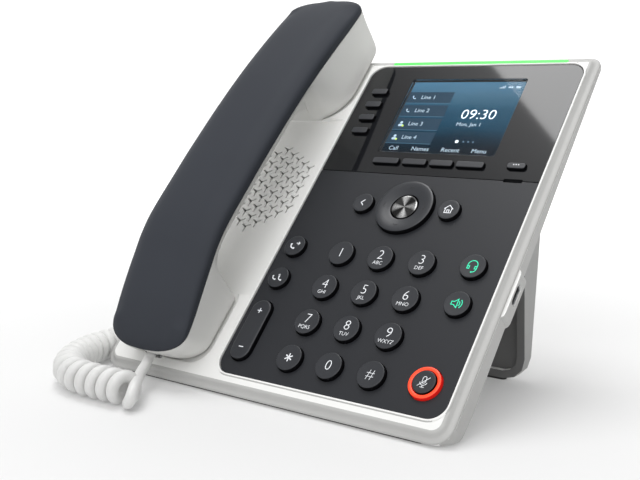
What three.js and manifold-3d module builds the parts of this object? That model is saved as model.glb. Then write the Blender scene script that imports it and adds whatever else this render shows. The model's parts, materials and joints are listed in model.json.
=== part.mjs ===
// Desk IP phone: a colour-screen desk telephone with a corded handset on the left, a keypad on the
// right, a pull-off desk stand behind and a curly handset cord.
//
// Frames. "face" coordinates are millimetres on the inclined front: u to the right, v up the face,
// w out of the face, with the centre of the screen at u = v = 0 and the panel surface at w = 0.
// "desk" coordinates are x to the right, y to the back and z up, with the desk top at z = 0.

import * as THREE from "three";
import { mergeVertices } from "three/addons/utils/BufferGeometryUtils.js";
import Module from "manifold-3d";

const wasm = await Module();
wasm.setup();

// ---------------------------------------------------------------- driving dimensions

const FACE_TILT = THREE.MathUtils.degToRad(46.9);
const SCREEN_HEIGHT = 114.8; // centre of the screen above the desk
const ORIGIN = { x: -30.45, y: -40.2 }; // middle of the footprint, in desk coordinates
const GAP = 0.3; // clearance between pieces that sit against each other

const HOUSING = { left: -121.5, right: 59.3, bottom: -152.8, top: 36.2 };
const HOUSING_RADII = [8, 5, 8, 8.5]; // lower right, upper right, upper left, lower left
const SEAM = -3; // w of the joint between front and rear housings
const BASE_GAP = 1; // housing and stand clear the desk by this, on rubber feet

const PANEL = { left: -55.4, right: 54.6, bottom: -144.6, top: 30.7 };
const PANEL_RADIUS = 7;
const PANEL_TOP = -0.2;
const PANEL_UNDER = -2.2;
const PANEL_SPLIT = -35; // glossy display bezel above, matt keypad panel below

const SCREEN = { width: 57.6, height: 43.2 }; // 2.8 inch, 4:3
const LIGHT_BAR = { left: -45.4, right: 45.2, bottom: 31.8, top: 33.3 };

const KEY_FLANGE = { low: -3.1, high: -2.5, wider: 0.75 };
const KEY_CLEARANCE = 0.35;
const KEY_TOP = 1.8;
const DIAL = { u: -0.6, top: -80.5, pitchU: 20, pitchV: 17.46, radius: 5.9 };
const DIAL_NAMES = ["1", "2", "3", "4", "5", "6", "7", "8", "9", "star", "0", "hash"];
const NAV = { u: -0.8, v: -53.4, outer: 13.5, inner: 6.5 };
const SELECT_RADIUS = 6.1;
const ROUND_KEYS = {
  back_key: [-22.3, -53.2, 4.9],
  home_key: [20.9, -53.2, 4.9],
  transfer_key: [-46.4, -79.6, 5.2],
  conference_key: [-46.4, -96.8, 5.2],
  headset_key: [42.3, -79.2, 5.5],
  speaker_key: [42.3, -96.8, 5.5],
  mute_key: [42.5, -131.4, 4.7],
};
const MUTE_RING = { inner: 5, outer: 7 };
const VOLUME = { left: -51.8, right: -41.6, bottom: -138.2, top: -108.8 };
const VOLUME_RADIUS = 5;
const LINE_KEYS = { left: -48.9, right: -40.3, first: 13.5, pitch: -8.2, height: 3.4, count: 4 };
const SOFT_KEYS = [[-28.9, -15.2], [-13.1, -0.9], [0.9, 12.3], [14.1, 27.4]];
const SOFT_ROW = { bottom: -30, top: -26.8 };
const MORE_KEY = { left: 38, right: 46.4, bottom: -29.3, top: -26.3 };

const HANDSET = { u: -84.4, top: 57.4, bottom: -149.2, half: 22.1 };
const HANDSET_WALL = 2.2;
const EAR_FOOT = { half: 25.6, bottom: -4.2, top: 70, radius: 18.4 };
const MOUTH_FOOT = { half: 20.6, bottom: -143, top: -107, lowerRadius: 9, upperRadius: 4 };
const FOOT_LOW = -1.2; // w of the underside of both cups
const CRADLE_FLOOR = -1.5;
const POCKET_GAP = 0.6;
const SCOOP = { half: 27, bottom: -107, top: -4, depth: 2.6 };

const GRILLE = { u: HANDSET.u, v: -46, pitch: 5.93, rings: 4, arm: 3.1, width: 0.9 };

const BACK = -24; // w of the flat back of the housing
const REAR_WALL = 2;
const BOARD = { left: -51, right: 50, bottom: -139, top: 24, low: -6.7, high: -5.5 };

const STAND = { left: -106, right: 45, frontFoot: -11, rearFoot: -6.2, plateTop: 5, plate: 4 };
const CORD = { wire: 5.2, coil: 14.8 };

const FINISH = {
  white: { color: 0xdcdcd8, roughness: 0.55, metalness: 0 },
  grey: { color: 0xc9c9c4, roughness: 0.6, metalness: 0 },
  gloss: { color: 0x16181b, roughness: 0.12, metalness: 0 },
  charcoal: { color: 0x2b2c30, roughness: 0.5, metalness: 0 },
  slate: { color: 0x3a3f47, roughness: 0.42, metalness: 0 },
  key: { color: 0x3c3d41, roughness: 0.5, metalness: 0 },
  select: { color: 0x7a7c80, roughness: 0.35, metalness: 0.8 },
  lens: { color: 0xffffff, roughness: 0.05, metalness: 0 },
  screen: { color: 0x1d4a78, roughness: 0.3, metalness: 0 },
  green: { color: 0x5fd36a, roughness: 0.4, metalness: 0 },
  red: { color: 0xe8432a, roughness: 0.4, metalness: 0 },
  rubber: { color: 0x303030, roughness: 0.9, metalness: 0 },
  board: { color: 0x1f5a36, roughness: 0.6, metalness: 0 },
  steel: { color: 0xb8babd, roughness: 0.35, metalness: 1 },
  black: { color: 0x17181a, roughness: 0.6, metalness: 0 },
  cord: { color: 0xe2e2df, roughness: 0.5, metalness: 0 },
};

// ---------------------------------------------------------------- solids

function toSolid(geometry) {
  const bare = geometry.clone();
  bare.deleteAttribute("normal");
  bare.deleteAttribute("uv");
  const merged = mergeVertices(bare, 1e-4);
  return new wasm.Manifold(
    new wasm.Mesh({
      numProp: 3,
      vertProperties: merged.attributes.position.array,
      triVerts: new Uint32Array(merged.index.array),
    }),
  );
}

function toGeometry(made) {
  const { vertProperties, triVerts } = made.getMesh();
  const geometry = new THREE.BufferGeometry();
  geometry.setAttribute("position", new THREE.BufferAttribute(vertProperties, 3));
  geometry.setIndex(new THREE.BufferAttribute(triVerts, 1));
  return geometry;
}

function joined(...solids) {
  return solids.reduce((all, one) => all.add(one));
}

// A closed body through rings of points. Each ring runs anticlockwise about the way they are stacked.
function loft(rings) {
  const around = rings[0].length;
  const points = rings.flat();
  const faces = [];
  for (let level = 0; level + 1 < rings.length; level++) {
    for (let i = 0; i < around; i++) {
      const a = level * around + i;
      const b = level * around + ((i + 1) % around);
      faces.push(a, b, b + around, a, b + around, a + around);
    }
  }
  const middle = (ring) =>
    ring.reduce((sum, p) => sum.add(p), new THREE.Vector3()).divideScalar(around);
  const low = points.length;
  const high = low + 1;
  points.push(middle(rings[0]), middle(rings.at(-1)));
  const lastRing = (rings.length - 1) * around;
  for (let i = 0; i < around; i++) {
    const next = (i + 1) % around;
    faces.push(low, next, i, high, lastRing + i, lastRing + next);
  }
  const geometry = new THREE.BufferGeometry().setFromPoints(points);
  geometry.setIndex(faces);
  return toSolid(geometry);
}

// Points of a rounded rectangle. radii: one number, or lower right, upper right, upper left, lower left.
function rectRing({ left, right, bottom, top }, radii, w, grow = 0, steps = 3) {
  const [lowerRight, upperRight, upperLeft, lowerLeft] = Array.isArray(radii)
    ? radii
    : [radii, radii, radii, radii];
  const corners = [
    [right, bottom, lowerRight, -1, 1, -90],
    [right, top, upperRight, -1, -1, 0],
    [left, top, upperLeft, 1, -1, 90],
    [left, bottom, lowerLeft, 1, 1, 180],
  ];
  return corners.flatMap(([x, y, radius, inX, inY, start]) =>
    Array.from({ length: steps + 1 }, (_, i) => {
      const angle = THREE.MathUtils.degToRad(start + (90 * i) / steps);
      const reach = Math.max(radius + grow, 0.05);
      return new THREE.Vector3(
        x + inX * radius + reach * Math.cos(angle),
        y + inY * radius + reach * Math.sin(angle),
        w,
      );
    }),
  );
}

function circleRing(u, v, radius, w, steps = 16) {
  return Array.from({ length: steps }, (_, i) => {
    const angle = (2 * Math.PI * i) / steps;
    return new THREE.Vector3(u + radius * Math.cos(angle), v + radius * Math.sin(angle), w);
  });
}

const block = (rect, radii, low, high, grow = 0, steps = 3) =>
  loft([low, high].map((w) => rectRing(rect, radii, w, grow, steps)));
const disc = (u, v, radius, low, high, steps) =>
  loft([circleRing(u, v, radius, low, steps), circleRing(u, v, radius, high, steps)]);

// A side outline of [along, up] points, extruded across from low to high on the first axis.
function sideways(outline, low, high) {
  const shape = new THREE.Shape(outline.map(([a, b]) => new THREE.Vector2(a, b)));
  const made = new THREE.ExtrudeGeometry(shape, { depth: high - low, bevelEnabled: false });
  const turn = new THREE.Matrix4().makeBasis(
    new THREE.Vector3(0, 1, 0),
    new THREE.Vector3(0, 0, 1),
    new THREE.Vector3(1, 0, 0),
  );
  return toSolid(made.applyMatrix4(turn).translate(low, 0, 0));
}

// A tube of round section with flat ends along a smooth curve.
function tube(points, diameter, steps, sides) {
  const path = new THREE.CatmullRomCurve3(points.map((p) => new THREE.Vector3(...p)));
  const section = new THREE.Shape();
  section.absarc(0, 0, diameter / 2, 0, 2 * Math.PI);
  return new THREE.ExtrudeGeometry(section, {
    steps,
    extrudePath: path,
    curveSegments: sides,
    bevelEnabled: false,
  });
}

// ---------------------------------------------------------------- frames and nodes

const phone = new THREE.Group();
phone.position.set(-ORIGIN.x, -ORIGIN.y, 0);
const desk = new THREE.Group();
const face = new THREE.Group();
face.position.z = SCREEN_HEIGHT;
face.rotation.x = FACE_TILT;
phone.add(desk, face);

function add(group, name, finish, shape) {
  const geometry = shape.isBufferGeometry ? shape : toGeometry(shape);
  const mesh = new THREE.Mesh(geometry, new THREE.MeshStandardMaterial(FINISH[finish]));
  mesh.name = name;
  group.add(mesh);
}

// Desk y and z of a face point.
const deskY = (v, w) => v * Math.cos(FACE_TILT) - w * Math.sin(FACE_TILT);
const deskZ = (v, w) => v * Math.sin(FACE_TILT) + w * Math.cos(FACE_TILT) + SCREEN_HEIGHT;

// ---------------------------------------------------------------- front housing

function grilleSlots(low, high) {
  const slots = [];
  for (let column = -GRILLE.rings; column <= GRILLE.rings; column++) {
    const count = 2 * GRILLE.rings + 1 - Math.abs(column);
    for (let row = 0; row < count; row++) {
      const u = GRILLE.u + column * GRILLE.pitch * Math.cos(Math.PI / 6);
      const v = GRILLE.v + (row - (count - 1) / 2) * GRILLE.pitch;
      slots.push(slot(u, v, low, high));
    }
  }
  return slots;
}

// A Y-shaped slot: arms at 30, 150 and 270 degrees.
function slot(u, v, low, high) {
  const half = GRILLE.width / 2;
  const outline = [30, 150, 270].flatMap((degrees) => {
    const angle = THREE.MathUtils.degToRad(degrees);
    const along = new THREE.Vector2(Math.cos(angle), Math.sin(angle));
    const across = new THREE.Vector2(-along.y, along.x);
    const tip = along.clone().multiplyScalar(GRILLE.arm);
    const crotch = along.clone().add(across.clone().multiplyScalar(Math.sqrt(3)));
    return [
      tip.clone().addScaledVector(across, -half),
      tip.clone().addScaledVector(across, half),
      crotch.multiplyScalar(half / Math.sqrt(3)),
    ];
  });
  const made = new THREE.ExtrudeGeometry(new THREE.Shape(outline), {
    depth: high - low,
    bevelEnabled: false,
  });
  return toSolid(made.translate(u, v, low));
}

function scoopCutter() {
  const { half, depth } = SCOOP;
  const radius = (half * half + depth * depth) / (2 * depth);
  const steps = 10;
  const outline = Array.from({ length: steps + 1 }, (_, i) => {
    const u = -half + (2 * half * i) / steps;
    return new THREE.Vector2(HANDSET.u + u, radius - depth - Math.sqrt(radius * radius - u * u));
  });
  outline.push(new THREE.Vector2(HANDSET.u + half, 10), new THREE.Vector2(HANDSET.u - half, 10));
  const made = new THREE.ExtrudeGeometry(new THREE.Shape(outline), {
    depth: SCOOP.top - SCOOP.bottom,
    bevelEnabled: false,
  });
  const turn = new THREE.Matrix4().makeBasis(
    new THREE.Vector3(1, 0, 0),
    new THREE.Vector3(0, 0, 1),
    new THREE.Vector3(0, -1, 0),
  );
  return toSolid(made.applyMatrix4(turn).translate(0, SCOOP.top, 0));
}

const HOOK = { left: HANDSET.u - 5, right: HANDSET.u + 5, bottom: 3, top: 9 };

// The outline of a cup's foot, sunk into the cradle.
const footRect = ({ half, bottom, top }) => ({
  left: HANDSET.u - half,
  right: HANDSET.u + half,
  bottom,
  top,
});
const EAR_RADII = [EAR_FOOT.radius, 2, 2, EAR_FOOT.radius];
const { lowerRadius, upperRadius } = MOUTH_FOOT;
const MOUTH_RADII = [lowerRadius, upperRadius, upperRadius, lowerRadius];

function frontHousing() {
  const levels = [[SEAM, 0], [-1.8, 0], [-0.7, -0.8], [0, -2.2]];
  let made = loft(levels.map(([w, grow]) => rectRing(HOUSING, HOUSING_RADII, w, grow)));
  const pad = { left: -112, right: -62, bottom: -102, top: -8 };
  made = made.add(block(pad, 4, -5, -1));
  const ledge = 2.2;
  made = made.subtract(block(PANEL, PANEL_RADIUS, PANEL_UNDER - GAP, 10, GAP));
  made = made.subtract(block(PANEL, PANEL_RADIUS, -20, 10, -ledge));
  made = made.subtract(block(LIGHT_BAR, 0.5, -2, 10, GAP));
  made = made.subtract(block(footRect(EAR_FOOT), EAR_RADII, CRADLE_FLOOR, 10, POCKET_GAP, 5));
  made = made.subtract(block(footRect(MOUTH_FOOT), MOUTH_RADII, CRADLE_FLOOR, 10, POCKET_GAP, 4));
  made = made.subtract(scoopCutter());
  made = made.subtract(block(HOOK, 1.5, -20, 10, GAP));
  for (const one of grilleSlots(-10, 10)) {
    made = made.subtract(one);
  }
  return made;
}

// ---------------------------------------------------------------- rear housing

const SIDE_EDGE = { topW: -4.3, lowV: -136, lowW: -11, baseW: -9.9 };
const BULGE = { left: -119, right: 57, bottom: -86, top: 33, w: -5 };
const BULGE_BACK = { left: -100, right: 38, bottom: -80.5, top: 8 };

// The tray's side outline, inset from the outside by the wall.
function trayOutline(wall) {
  const baseV = (w) => (BASE_GAP - SCREEN_HEIGHT - w * Math.cos(FACE_TILT)) / Math.sin(FACE_TILT);
  const front = SEAM - GAP;
  const open = wall ? 10 : 0; // the hollow runs out through the front
  return [
    [HOUSING.top - wall, front + open],
    [HOUSING.top - wall, SIDE_EDGE.topW + wall],
    [SIDE_EDGE.lowV + wall / 2, SIDE_EDGE.lowW + wall],
    [baseV(SIDE_EDGE.baseW) + wall * 1.5, SIDE_EDGE.baseW + wall],
    [baseV(front) + wall * 1.5, front],
    [baseV(front) + wall * 1.5, front + open],
  ];
}

function tray(wall) {
  const sides = sideways(trayOutline(wall), HOUSING.left - 5, HOUSING.right + 5);
  return sides.intersect(block(HOUSING, HOUSING_RADII, -30, 10, -wall));
}

function bulge(wall) {
  return loft([
    rectRing(BULGE_BACK, 6, BACK + wall, -wall),
    rectRing(BULGE, 6, BULGE.w, -wall),
    rectRing(BULGE, 6, BULGE.w + 4, -wall),
  ]);
}

const POD = { left: 45, right: 60.6, bottom: -98, top: -74.5, low: -11.2, high: SEAM - GAP };
const USB = { v: -85.2, w: -6.2, long: 9, thick: 3.2, radius: 1.5, inside: 53 };
const JACK_FACE = -80.9; // v of the jacks' mouths
const LAN = { left: -52, right: -22, low: -19.4, high: -7 };
const HEADSET_JACK = { left: 6, right: 18, low: -16.8, high: -7 };
const CORD_JACK = { left: -19, right: -7, low: -16.8, high: -7 };
const PEGS = [-70, 8];
const PEG = { low: -10, high: -2, wide: 12, deep: 4 };

const upright = ({ left, right, low, high }, bottom, top, grow = 0) =>
  block(
    { left: left - grow, right: right + grow, bottom, top },
    0.4,
    low - grow,
    high + grow,
  );

function rearHousing() {
  let made = tray(0).add(bulge(0).intersect(block(HOUSING, HOUSING_RADII, -40, SEAM - GAP)));
  const podTop = rectRing({ ...POD, right: POD.right - 0.8 }, 3, POD.low);
  made = made.add(loft([podTop, rectRing(POD, 3, POD.low + 1.5), rectRing(POD, 3, POD.high)]));
  made = made.subtract(tray(REAR_WALL - 0.2));
  made = made.subtract(bulge(REAR_WALL).intersect(block(HOUSING, HOUSING_RADII, -40, 10, -3)));
  const podInside = { left: 40, right: POD.right - 2.4, bottom: POD.bottom + 2, top: POD.top - 2 };
  made = made.subtract(block(podInside, 1, POD.low + 1.6, 10));
  for (const jack of [LAN, HEADSET_JACK, CORD_JACK]) {
    made = made.subtract(upright(jack, JACK_FACE - 20, JACK_FACE + 16, GAP));
  }
  for (const u of PEGS) {
    const hole = { left: u, right: u + PEG.wide, bottom: PEG.low, top: PEG.high };
    made = made.subtract(block(hole, 1, BACK - 5, BACK + 5, GAP));
  }
  return made.subtract(usbShell(GAP));
}

// ---------------------------------------------------------------- sockets

// The rounded slot shape of the small port, lying across the right wall.
function usbShell(grow, inside = USB.inside, outside = 70) {
  const half = { v: USB.long / 2 + grow, w: USB.thick / 2 + grow };
  const rect = { left: -half.v, right: half.v, bottom: -half.w, top: half.w };
  const ring = (u) =>
    rectRing(rect, USB.radius + grow, 0).map((p) => new THREE.Vector3(u, USB.v + p.x, USB.w + p.y));
  return loft([ring(inside), ring(outside)]);
}

function usbPort() {
  const mouth = POD.right - 0.4;
  const body = usbShell(0, USB.inside, mouth);
  const hollow = usbShell(-0.35, USB.inside + 1, mouth + 5);
  const tongueHalf = { v: 3.3, w: 0.35 };
  const tongue = block(
    {
      left: USB.inside + 0.5,
      right: mouth - 1,
      bottom: USB.v - tongueHalf.v,
      top: USB.v + tongueHalf.v,
    },
    0.2,
    USB.w - tongueHalf.w,
    USB.w + tongueHalf.w,
  );
  return body.subtract(hollow).add(tongue);
}

const SOCKET_WALL = 1.2;

// A jack body with hollows opening down the face; each hollow is a span in u.
function jack(body, hollows, depth) {
  const back = JACK_FACE + depth;
  let made = upright(body, JACK_FACE, back);
  for (const [left, right] of hollows) {
    const inside = { left, right, low: body.low + SOCKET_WALL, high: body.high - SOCKET_WALL };
    made = made.subtract(upright(inside, JACK_FACE - 5, back - 1.5));
  }
  return made;
}

// ---------------------------------------------------------------- front panel and keys

const openRect = (rect, grow) => block(rect, 0.8, -20, 10, grow);
const screenRect = (margin) => ({
  left: -SCREEN.width / 2 - margin,
  right: SCREEN.width / 2 + margin,
  bottom: -SCREEN.height / 2 - margin,
  top: SCREEN.height / 2 + margin,
});
const lineKeyRect = (i) => {
  const middle = LINE_KEYS.first + i * LINE_KEYS.pitch;
  const half = LINE_KEYS.height / 2;
  return { ...LINE_KEYS, bottom: middle - half, top: middle + half };
};
const softKeyRect = ([left, right]) => ({ left, right, ...SOFT_ROW });
const dialPlace = (i) => [
  DIAL.u + ((i % 3) - 1) * DIAL.pitchU,
  DIAL.top - Math.floor(i / 3) * DIAL.pitchV,
];

const WINDOW_MARGIN = 0.7;
const MODULE_MARGIN = 3.4;
const WINDOW_UNDER = -1.4;

function displayBezel() {
  const upper = { ...PANEL, bottom: PANEL_SPLIT + GAP / 2 };
  let made = block(upper, [0.3, PANEL_RADIUS, PANEL_RADIUS, 0.3], PANEL_UNDER, PANEL_TOP);
  made = made.subtract(openRect(screenRect(WINDOW_MARGIN), GAP));
  made = made.subtract(block(screenRect(MODULE_MARGIN), 0.5, -10, WINDOW_UNDER, GAP));
  for (let i = 0; i < LINE_KEYS.count; i++) {
    made = made.subtract(openRect(lineKeyRect(i), KEY_CLEARANCE));
  }
  for (const span of SOFT_KEYS) {
    made = made.subtract(openRect(softKeyRect(span), KEY_CLEARANCE));
  }
  return made.subtract(openRect(MORE_KEY, KEY_CLEARANCE));
}

function keypadPanel() {
  const lower = { ...PANEL, top: PANEL_SPLIT - GAP / 2 };
  let made = block(lower, [PANEL_RADIUS, 0.3, 0.3, PANEL_RADIUS], PANEL_UNDER, PANEL_TOP);
  for (let i = 0; i < DIAL_NAMES.length; i++) {
    made = made.subtract(disc(...dialPlace(i), DIAL.radius + KEY_CLEARANCE, -20, 10));
  }
  for (const [name, [u, v, radius]] of Object.entries(ROUND_KEYS)) {
    const hole = name === "mute_key" ? MUTE_RING.outer + GAP : radius + KEY_CLEARANCE;
    made = made.subtract(disc(u, v, hole, -20, 10));
  }
  made = made.subtract(disc(NAV.u, NAV.v, NAV.outer + KEY_CLEARANCE, -20, 10, 20));
  return made.subtract(block(VOLUME, VOLUME_RADIUS, -20, 10, 0.5));
}

// Levels of a key cap: [w, growth of its outline].
const capLevels = (top) => [
  [KEY_FLANGE.low, KEY_FLANGE.wider],
  [KEY_FLANGE.high, KEY_FLANGE.wider],
  [KEY_FLANGE.high, 0],
  [top, -0.2],
];

const roundCap = (u, v, radius, top = KEY_TOP) =>
  loft(capLevels(top).map(([w, grow]) => circleRing(u, v, radius + grow, w)));
const barCap = (rect, radius, top) =>
  loft(capLevels(top).map(([w, grow]) => rectRing(rect, radius, w, grow, 1)));

function annulus(u, v, inner, outer, low, high, steps = 18) {
  return disc(u, v, outer, low, high, steps).subtract(
    disc(u, v, inner, low - 1, high + 1, steps),
  );
}

function navRing() {
  const levels = [
    [-3.3, NAV.outer + 0.7],
    [-2.9, NAV.outer + 0.7],
    [-2.9, NAV.outer],
    [KEY_TOP - 0.7, NAV.outer],
    [KEY_TOP, NAV.outer - 0.9],
  ];
  const body = loft(levels.map(([w, radius]) => circleRing(NAV.u, NAV.v, radius, w, 28)));
  return body.subtract(disc(NAV.u, NAV.v, NAV.inner, -10, 10, 20));
}

function volumeRocker() {
  const levels = [[-3.1, 0.6], [-2.9, 0.6], [-2.9, 0], [1.1, 0], [1.7, -0.6]];
  return loft(levels.map(([w, grow]) => rectRing(VOLUME, VOLUME_RADIUS, w, grow)));
}

function keyMat() {
  const rect = { left: -53, right: 52, bottom: -142, top: 28 };
  const made = block(rect, 5, -5.2, -4.4);
  return made
    .subtract(block(screenRect(MODULE_MARGIN), 0.5, -10, 10, GAP))
    .subtract(disc(NAV.u, NAV.v, NAV.outer + 0.6, -10, 10, 20));
}

// ---------------------------------------------------------------- handset

// Side curves of the handset: [v, w].
const CROWN = curve([
  [-149.2, 16.2], [-148, 17.4], [-145, 19.2], [-141, 21.4], [-136, 23.9], [-130, 26.6],
  [-120, 30], [-110, 32.8], [-100, 35.4], [-90, 36.7], [-80, 36.9], [-60, 36.9], [-40, 36.5],
  [-20, 35.7], [0, 34.2], [20, 31.8], [36, 29.2], [46, 26.8], [52, 24.8], [56, 22.7], [57.4, 21],
]);
const PARTING = curve([
  [-149.2, 15.4], [-137, 17], [-130, 18.6], [-120, 21.5], [-110, 24.3], [-100, 26.9],
  [-90, 28.2], [-80, 28.4], [-60, 28.4], [-40, 28], [-20, 27.2], [0, 25.7], [20, 23.5],
  [40, 21], [57.4, 19.6],
]);
const GRIP_BELLY = 17;
const UNDERSIDE = curve([
  [-149.2, FOOT_LOW], [-108, FOOT_LOW], [-107, 4], [-105, 9.5], [-102, 13.2], [-97, 15.8],
  [-88, GRIP_BELLY], [-24, GRIP_BELLY], [-16, 15.6], [-10, 12.4], [-6.5, 8], [-4.6, 3],
  [-3.8, FOOT_LOW], [57.4, FOOT_LOW],
]);

// A smooth height over v through the given points.
function curve(points) {
  return (v) => {
    const last = points.length - 2;
    let i = points.findIndex(([at]) => at > v) - 1;
    i = Math.min(Math.max(i < 0 && v > points[0][0] ? last : i, 0), last);
    const [[v0, w0], [v1, w1]] = [points[i], points[i + 1]];
    const slope = (a, b) => (b[1] - a[1]) / (b[0] - a[0]);
    const here = slope(points[i], points[i + 1]);
    const before = i > 0 ? slope(points[i - 1], points[i]) : here;
    const after = i < last ? slope(points[i + 1], points[i + 2]) : here;
    const soft = (a, b) => (a * b > 0 ? (2 * a * b) / (a + b) : 0);
    const [m0, m1] = [soft(before, here), soft(here, after)];
    const length = v1 - v0;
    const t = THREE.MathUtils.clamp((v - v0) / length, 0, 1);
    return (
      w0 * (1 + 2 * t) * (1 - t) ** 2 +
      w1 * t * t * (3 - 2 * t) +
      length * (m0 * t * (1 - t) ** 2 - m1 * t * t * (1 - t))
    );
  };
}

const ENDS = { top: { length: 11, power: 2.3 }, bottom: { length: 11, power: 2.4 } };

// Half-width of the handset at v, drawn in at its two rounded ends.
function halfWidth(v, inset) {
  const end = v > 0 ? ENDS.top : ENDS.bottom;
  const left = (v > 0 ? HANDSET.top - v : v - HANDSET.bottom) - inset;
  const into = Math.min(Math.max(1 - left / end.length, 0), 1);
  return (HANDSET.half - inset) * (1 - into ** end.power) ** (1 / end.power);
}

// Half-width of a cup's foot at v, down at the cradle, where the sections are as wide as half.
function footHalf(v, half) {
  const corner = (foot, radius, into) =>
    foot.half - radius + Math.sqrt(Math.max(radius ** 2 - Math.max(into, 0) ** 2, 0));
  const ear = v > (EAR_FOOT.bottom + MOUTH_FOOT.top) / 2;
  const foot = ear ? EAR_FOOT : MOUTH_FOOT;
  const reach = ear
    ? corner(foot, foot.radius, foot.bottom + foot.radius - v)
    : corner(foot, upperRadius, v - foot.top + upperRadius);
  return Math.min(reach, (foot.half * half) / HANDSET.half);
}

// The end walls lean in towards the cradle.
function leaned(v, w) {
  const low = Math.max(20 - w, 0);
  const up = THREE.MathUtils.smoothstep(v, 15, 45) * 0.45;
  const down = THREE.MathUtils.smoothstep(-v, 115, 140) * 0.4;
  return v - low * up + Math.max(14 - w, 0) * down;
}

// One cross-section, running anticlockwise about the way up the face.
function handsetRing(v, inset) {
  const half = halfWidth(v, inset);
  const crown = CROWN(v) - inset;
  const parting = PARTING(v);
  const lift = Math.max(...[-1, 0, 1].map((side) => UNDERSIDE(v + side * inset)));
  const under = Math.min(lift + inset, parting - 1.5);
  const cup = THREE.MathUtils.clamp((GRIP_BELLY - UNDERSIDE(v)) / GRIP_BELLY, 0, 1);
  const blend = (grip, foot) => grip + (foot - grip) * cup;
  const foot = Math.max(footHalf(v, half) - inset, 1);
  const shoulder = Math.min(9, half * 0.7);
  const profile = [
    [0, crown],
    [half - shoulder, crown - 0.5],
    [half - shoulder * 0.4, crown - 2.2 * (crown - parting > 6 ? 1 : 0.4)],
    [half, (crown + parting) / 2 - 0.5],
    [half, parting],
    [blend(half - 1.2, (half * 2 + foot) / 3), blend(parting - 2, (parting * 2 + under) / 3)],
    [blend(half - 3.5, foot), blend(Math.max(parting - 4.4, under + 0.3), under + 3)],
    [blend(half - 11, foot * 0.88), under],
  ];
  const right = profile.map(([u, w]) => [HANDSET.u + u, w]);
  const left = profile.slice(1).map(([u, w]) => [HANDSET.u - u, w]);
  return [...left.reverse(), ...right].map(
    ([u, w]) => new THREE.Vector3(u, leaned(v, w), w),
  );
}

// Sections crowd where the cups run up into the grip, and round the ends.
const SECTIONS = [
  -127, -117, -109, -107.6, -106, -103, -97, -86, -70, -50, -30, -18, -11, -7, -5, -4, -1, 4, 12,
  24, 36,
];
const END_SECTIONS = [0.3, 1.4, 3.6, 7, 12];

function handsetStations(inset) {
  const low = END_SECTIONS.map((d) => HANDSET.bottom + inset + d);
  const high = END_SECTIONS.map((d) => HANDSET.top - inset - d);
  return [...low, ...SECTIONS, ...high.reverse()];
}

const handsetBody = (inset) => loft(handsetStations(inset).map((v) => handsetRing(v, inset)));

// Everything in front of the parting line, moved by an offset in w.
function abovePartingLine(offset) {
  const outline = [[HANDSET.top + 20, 60], [HANDSET.bottom - 20, 60]];
  outline.push([HANDSET.bottom - 20, PARTING(HANDSET.bottom) + offset]);
  for (let v = HANDSET.bottom; v < HANDSET.top; v += 8) {
    outline.push([leaned(v, PARTING(v)), PARTING(v) + offset]);
  }
  outline.push([HANDSET.top + 20, PARTING(HANDSET.top) + offset]);
  return sideways(outline, HANDSET.u - 60, HANDSET.u + 60);
}

const PLUG = { u: HANDSET.u, w: 9.2, wide: 7.4, high: 6, long: 11, outside: -147.6 };

const plugCutter = (grow) =>
  block(
    {
      left: PLUG.u - PLUG.wide / 2,
      right: PLUG.u + PLUG.wide / 2,
      bottom: -160,
      top: PLUG.outside + PLUG.long + 2,
    },
    0.4,
    PLUG.w - PLUG.high / 2,
    PLUG.w + PLUG.high / 2,
    grow,
  );

function handsetShells() {
  const shell = handsetBody(0).subtract(handsetBody(HANDSET_WALL));
  const top = shell.intersect(abovePartingLine(GAP / 2));
  const socket = plugCutter(1.6).intersect(handsetBody(0.4));
  const bottom = shell.subtract(abovePartingLine(-GAP / 2)).add(socket);
  return [top, bottom.subtract(plugCutter(GAP))];
}

// ---------------------------------------------------------------- stand

// Side outline of the stand in desk y and z: two leaning sides that run up to its mounting plate.
function standOutline() {
  const plateLow = BACK - GAP;
  const plateHigh = plateLow - STAND.plate;
  const lean = { front: -0.0704, rear: 0.095 };
  const meet = (foot, slope, w) => {
    const sine = Math.sin(FACE_TILT);
    const cosine = Math.cos(FACE_TILT);
    const rise = w + SCREEN_HEIGHT * cosine + sine * (foot - slope * BASE_GAP);
    const z = rise / (cosine - sine * slope);
    return [foot + slope * (z - BASE_GAP), z];
  };
  return [
    [STAND.frontFoot, BASE_GAP],
    [STAND.rearFoot, BASE_GAP],
    meet(STAND.rearFoot, lean.rear, plateHigh),
    [deskY(STAND.plateTop, plateHigh), deskZ(STAND.plateTop, plateHigh)],
    [deskY(STAND.plateTop, plateLow), deskZ(STAND.plateTop, plateLow)],
    meet(STAND.frontFoot, lean.front, plateLow),
  ];
}

const CABLE_HOLE = { left: -56, right: -6, bottom: 17, top: 42 };

// A block whose rounded outline is seen from the front: x and z, from one y to another.
function fromFront({ left, right, bottom, top }, radii, front, rear) {
  const ring = (y) =>
    rectRing({ left, right, bottom, top }, radii, 0).map((p) => new THREE.Vector3(p.x, y, p.y));
  return loft([ring(rear), ring(front)]);
}

function standBody() {
  const { left, right } = STAND;
  const outline = standOutline();
  const wedge = sideways(outline, left, right);
  const front = { left, right, bottom: BASE_GAP, top: 140 };
  const rim = 3.5;
  const skin = 2.6;
  const hollow = sideways(outline.map(([y, z]) => [y - skin, z]), left, right).intersect(
    fromFront(
      { left: left + rim, right: right - rim, bottom: BASE_GAP + rim, top: 56 },
      7,
      -30,
      30,
    ),
  );
  return wedge
    .intersect(fromFront(front, [10, 3, 3, 10], -40, 60))
    .subtract(hollow)
    .subtract(fromFront(CABLE_HOLE, 5, -40, 40));
}

// ---------------------------------------------------------------- cord

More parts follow.
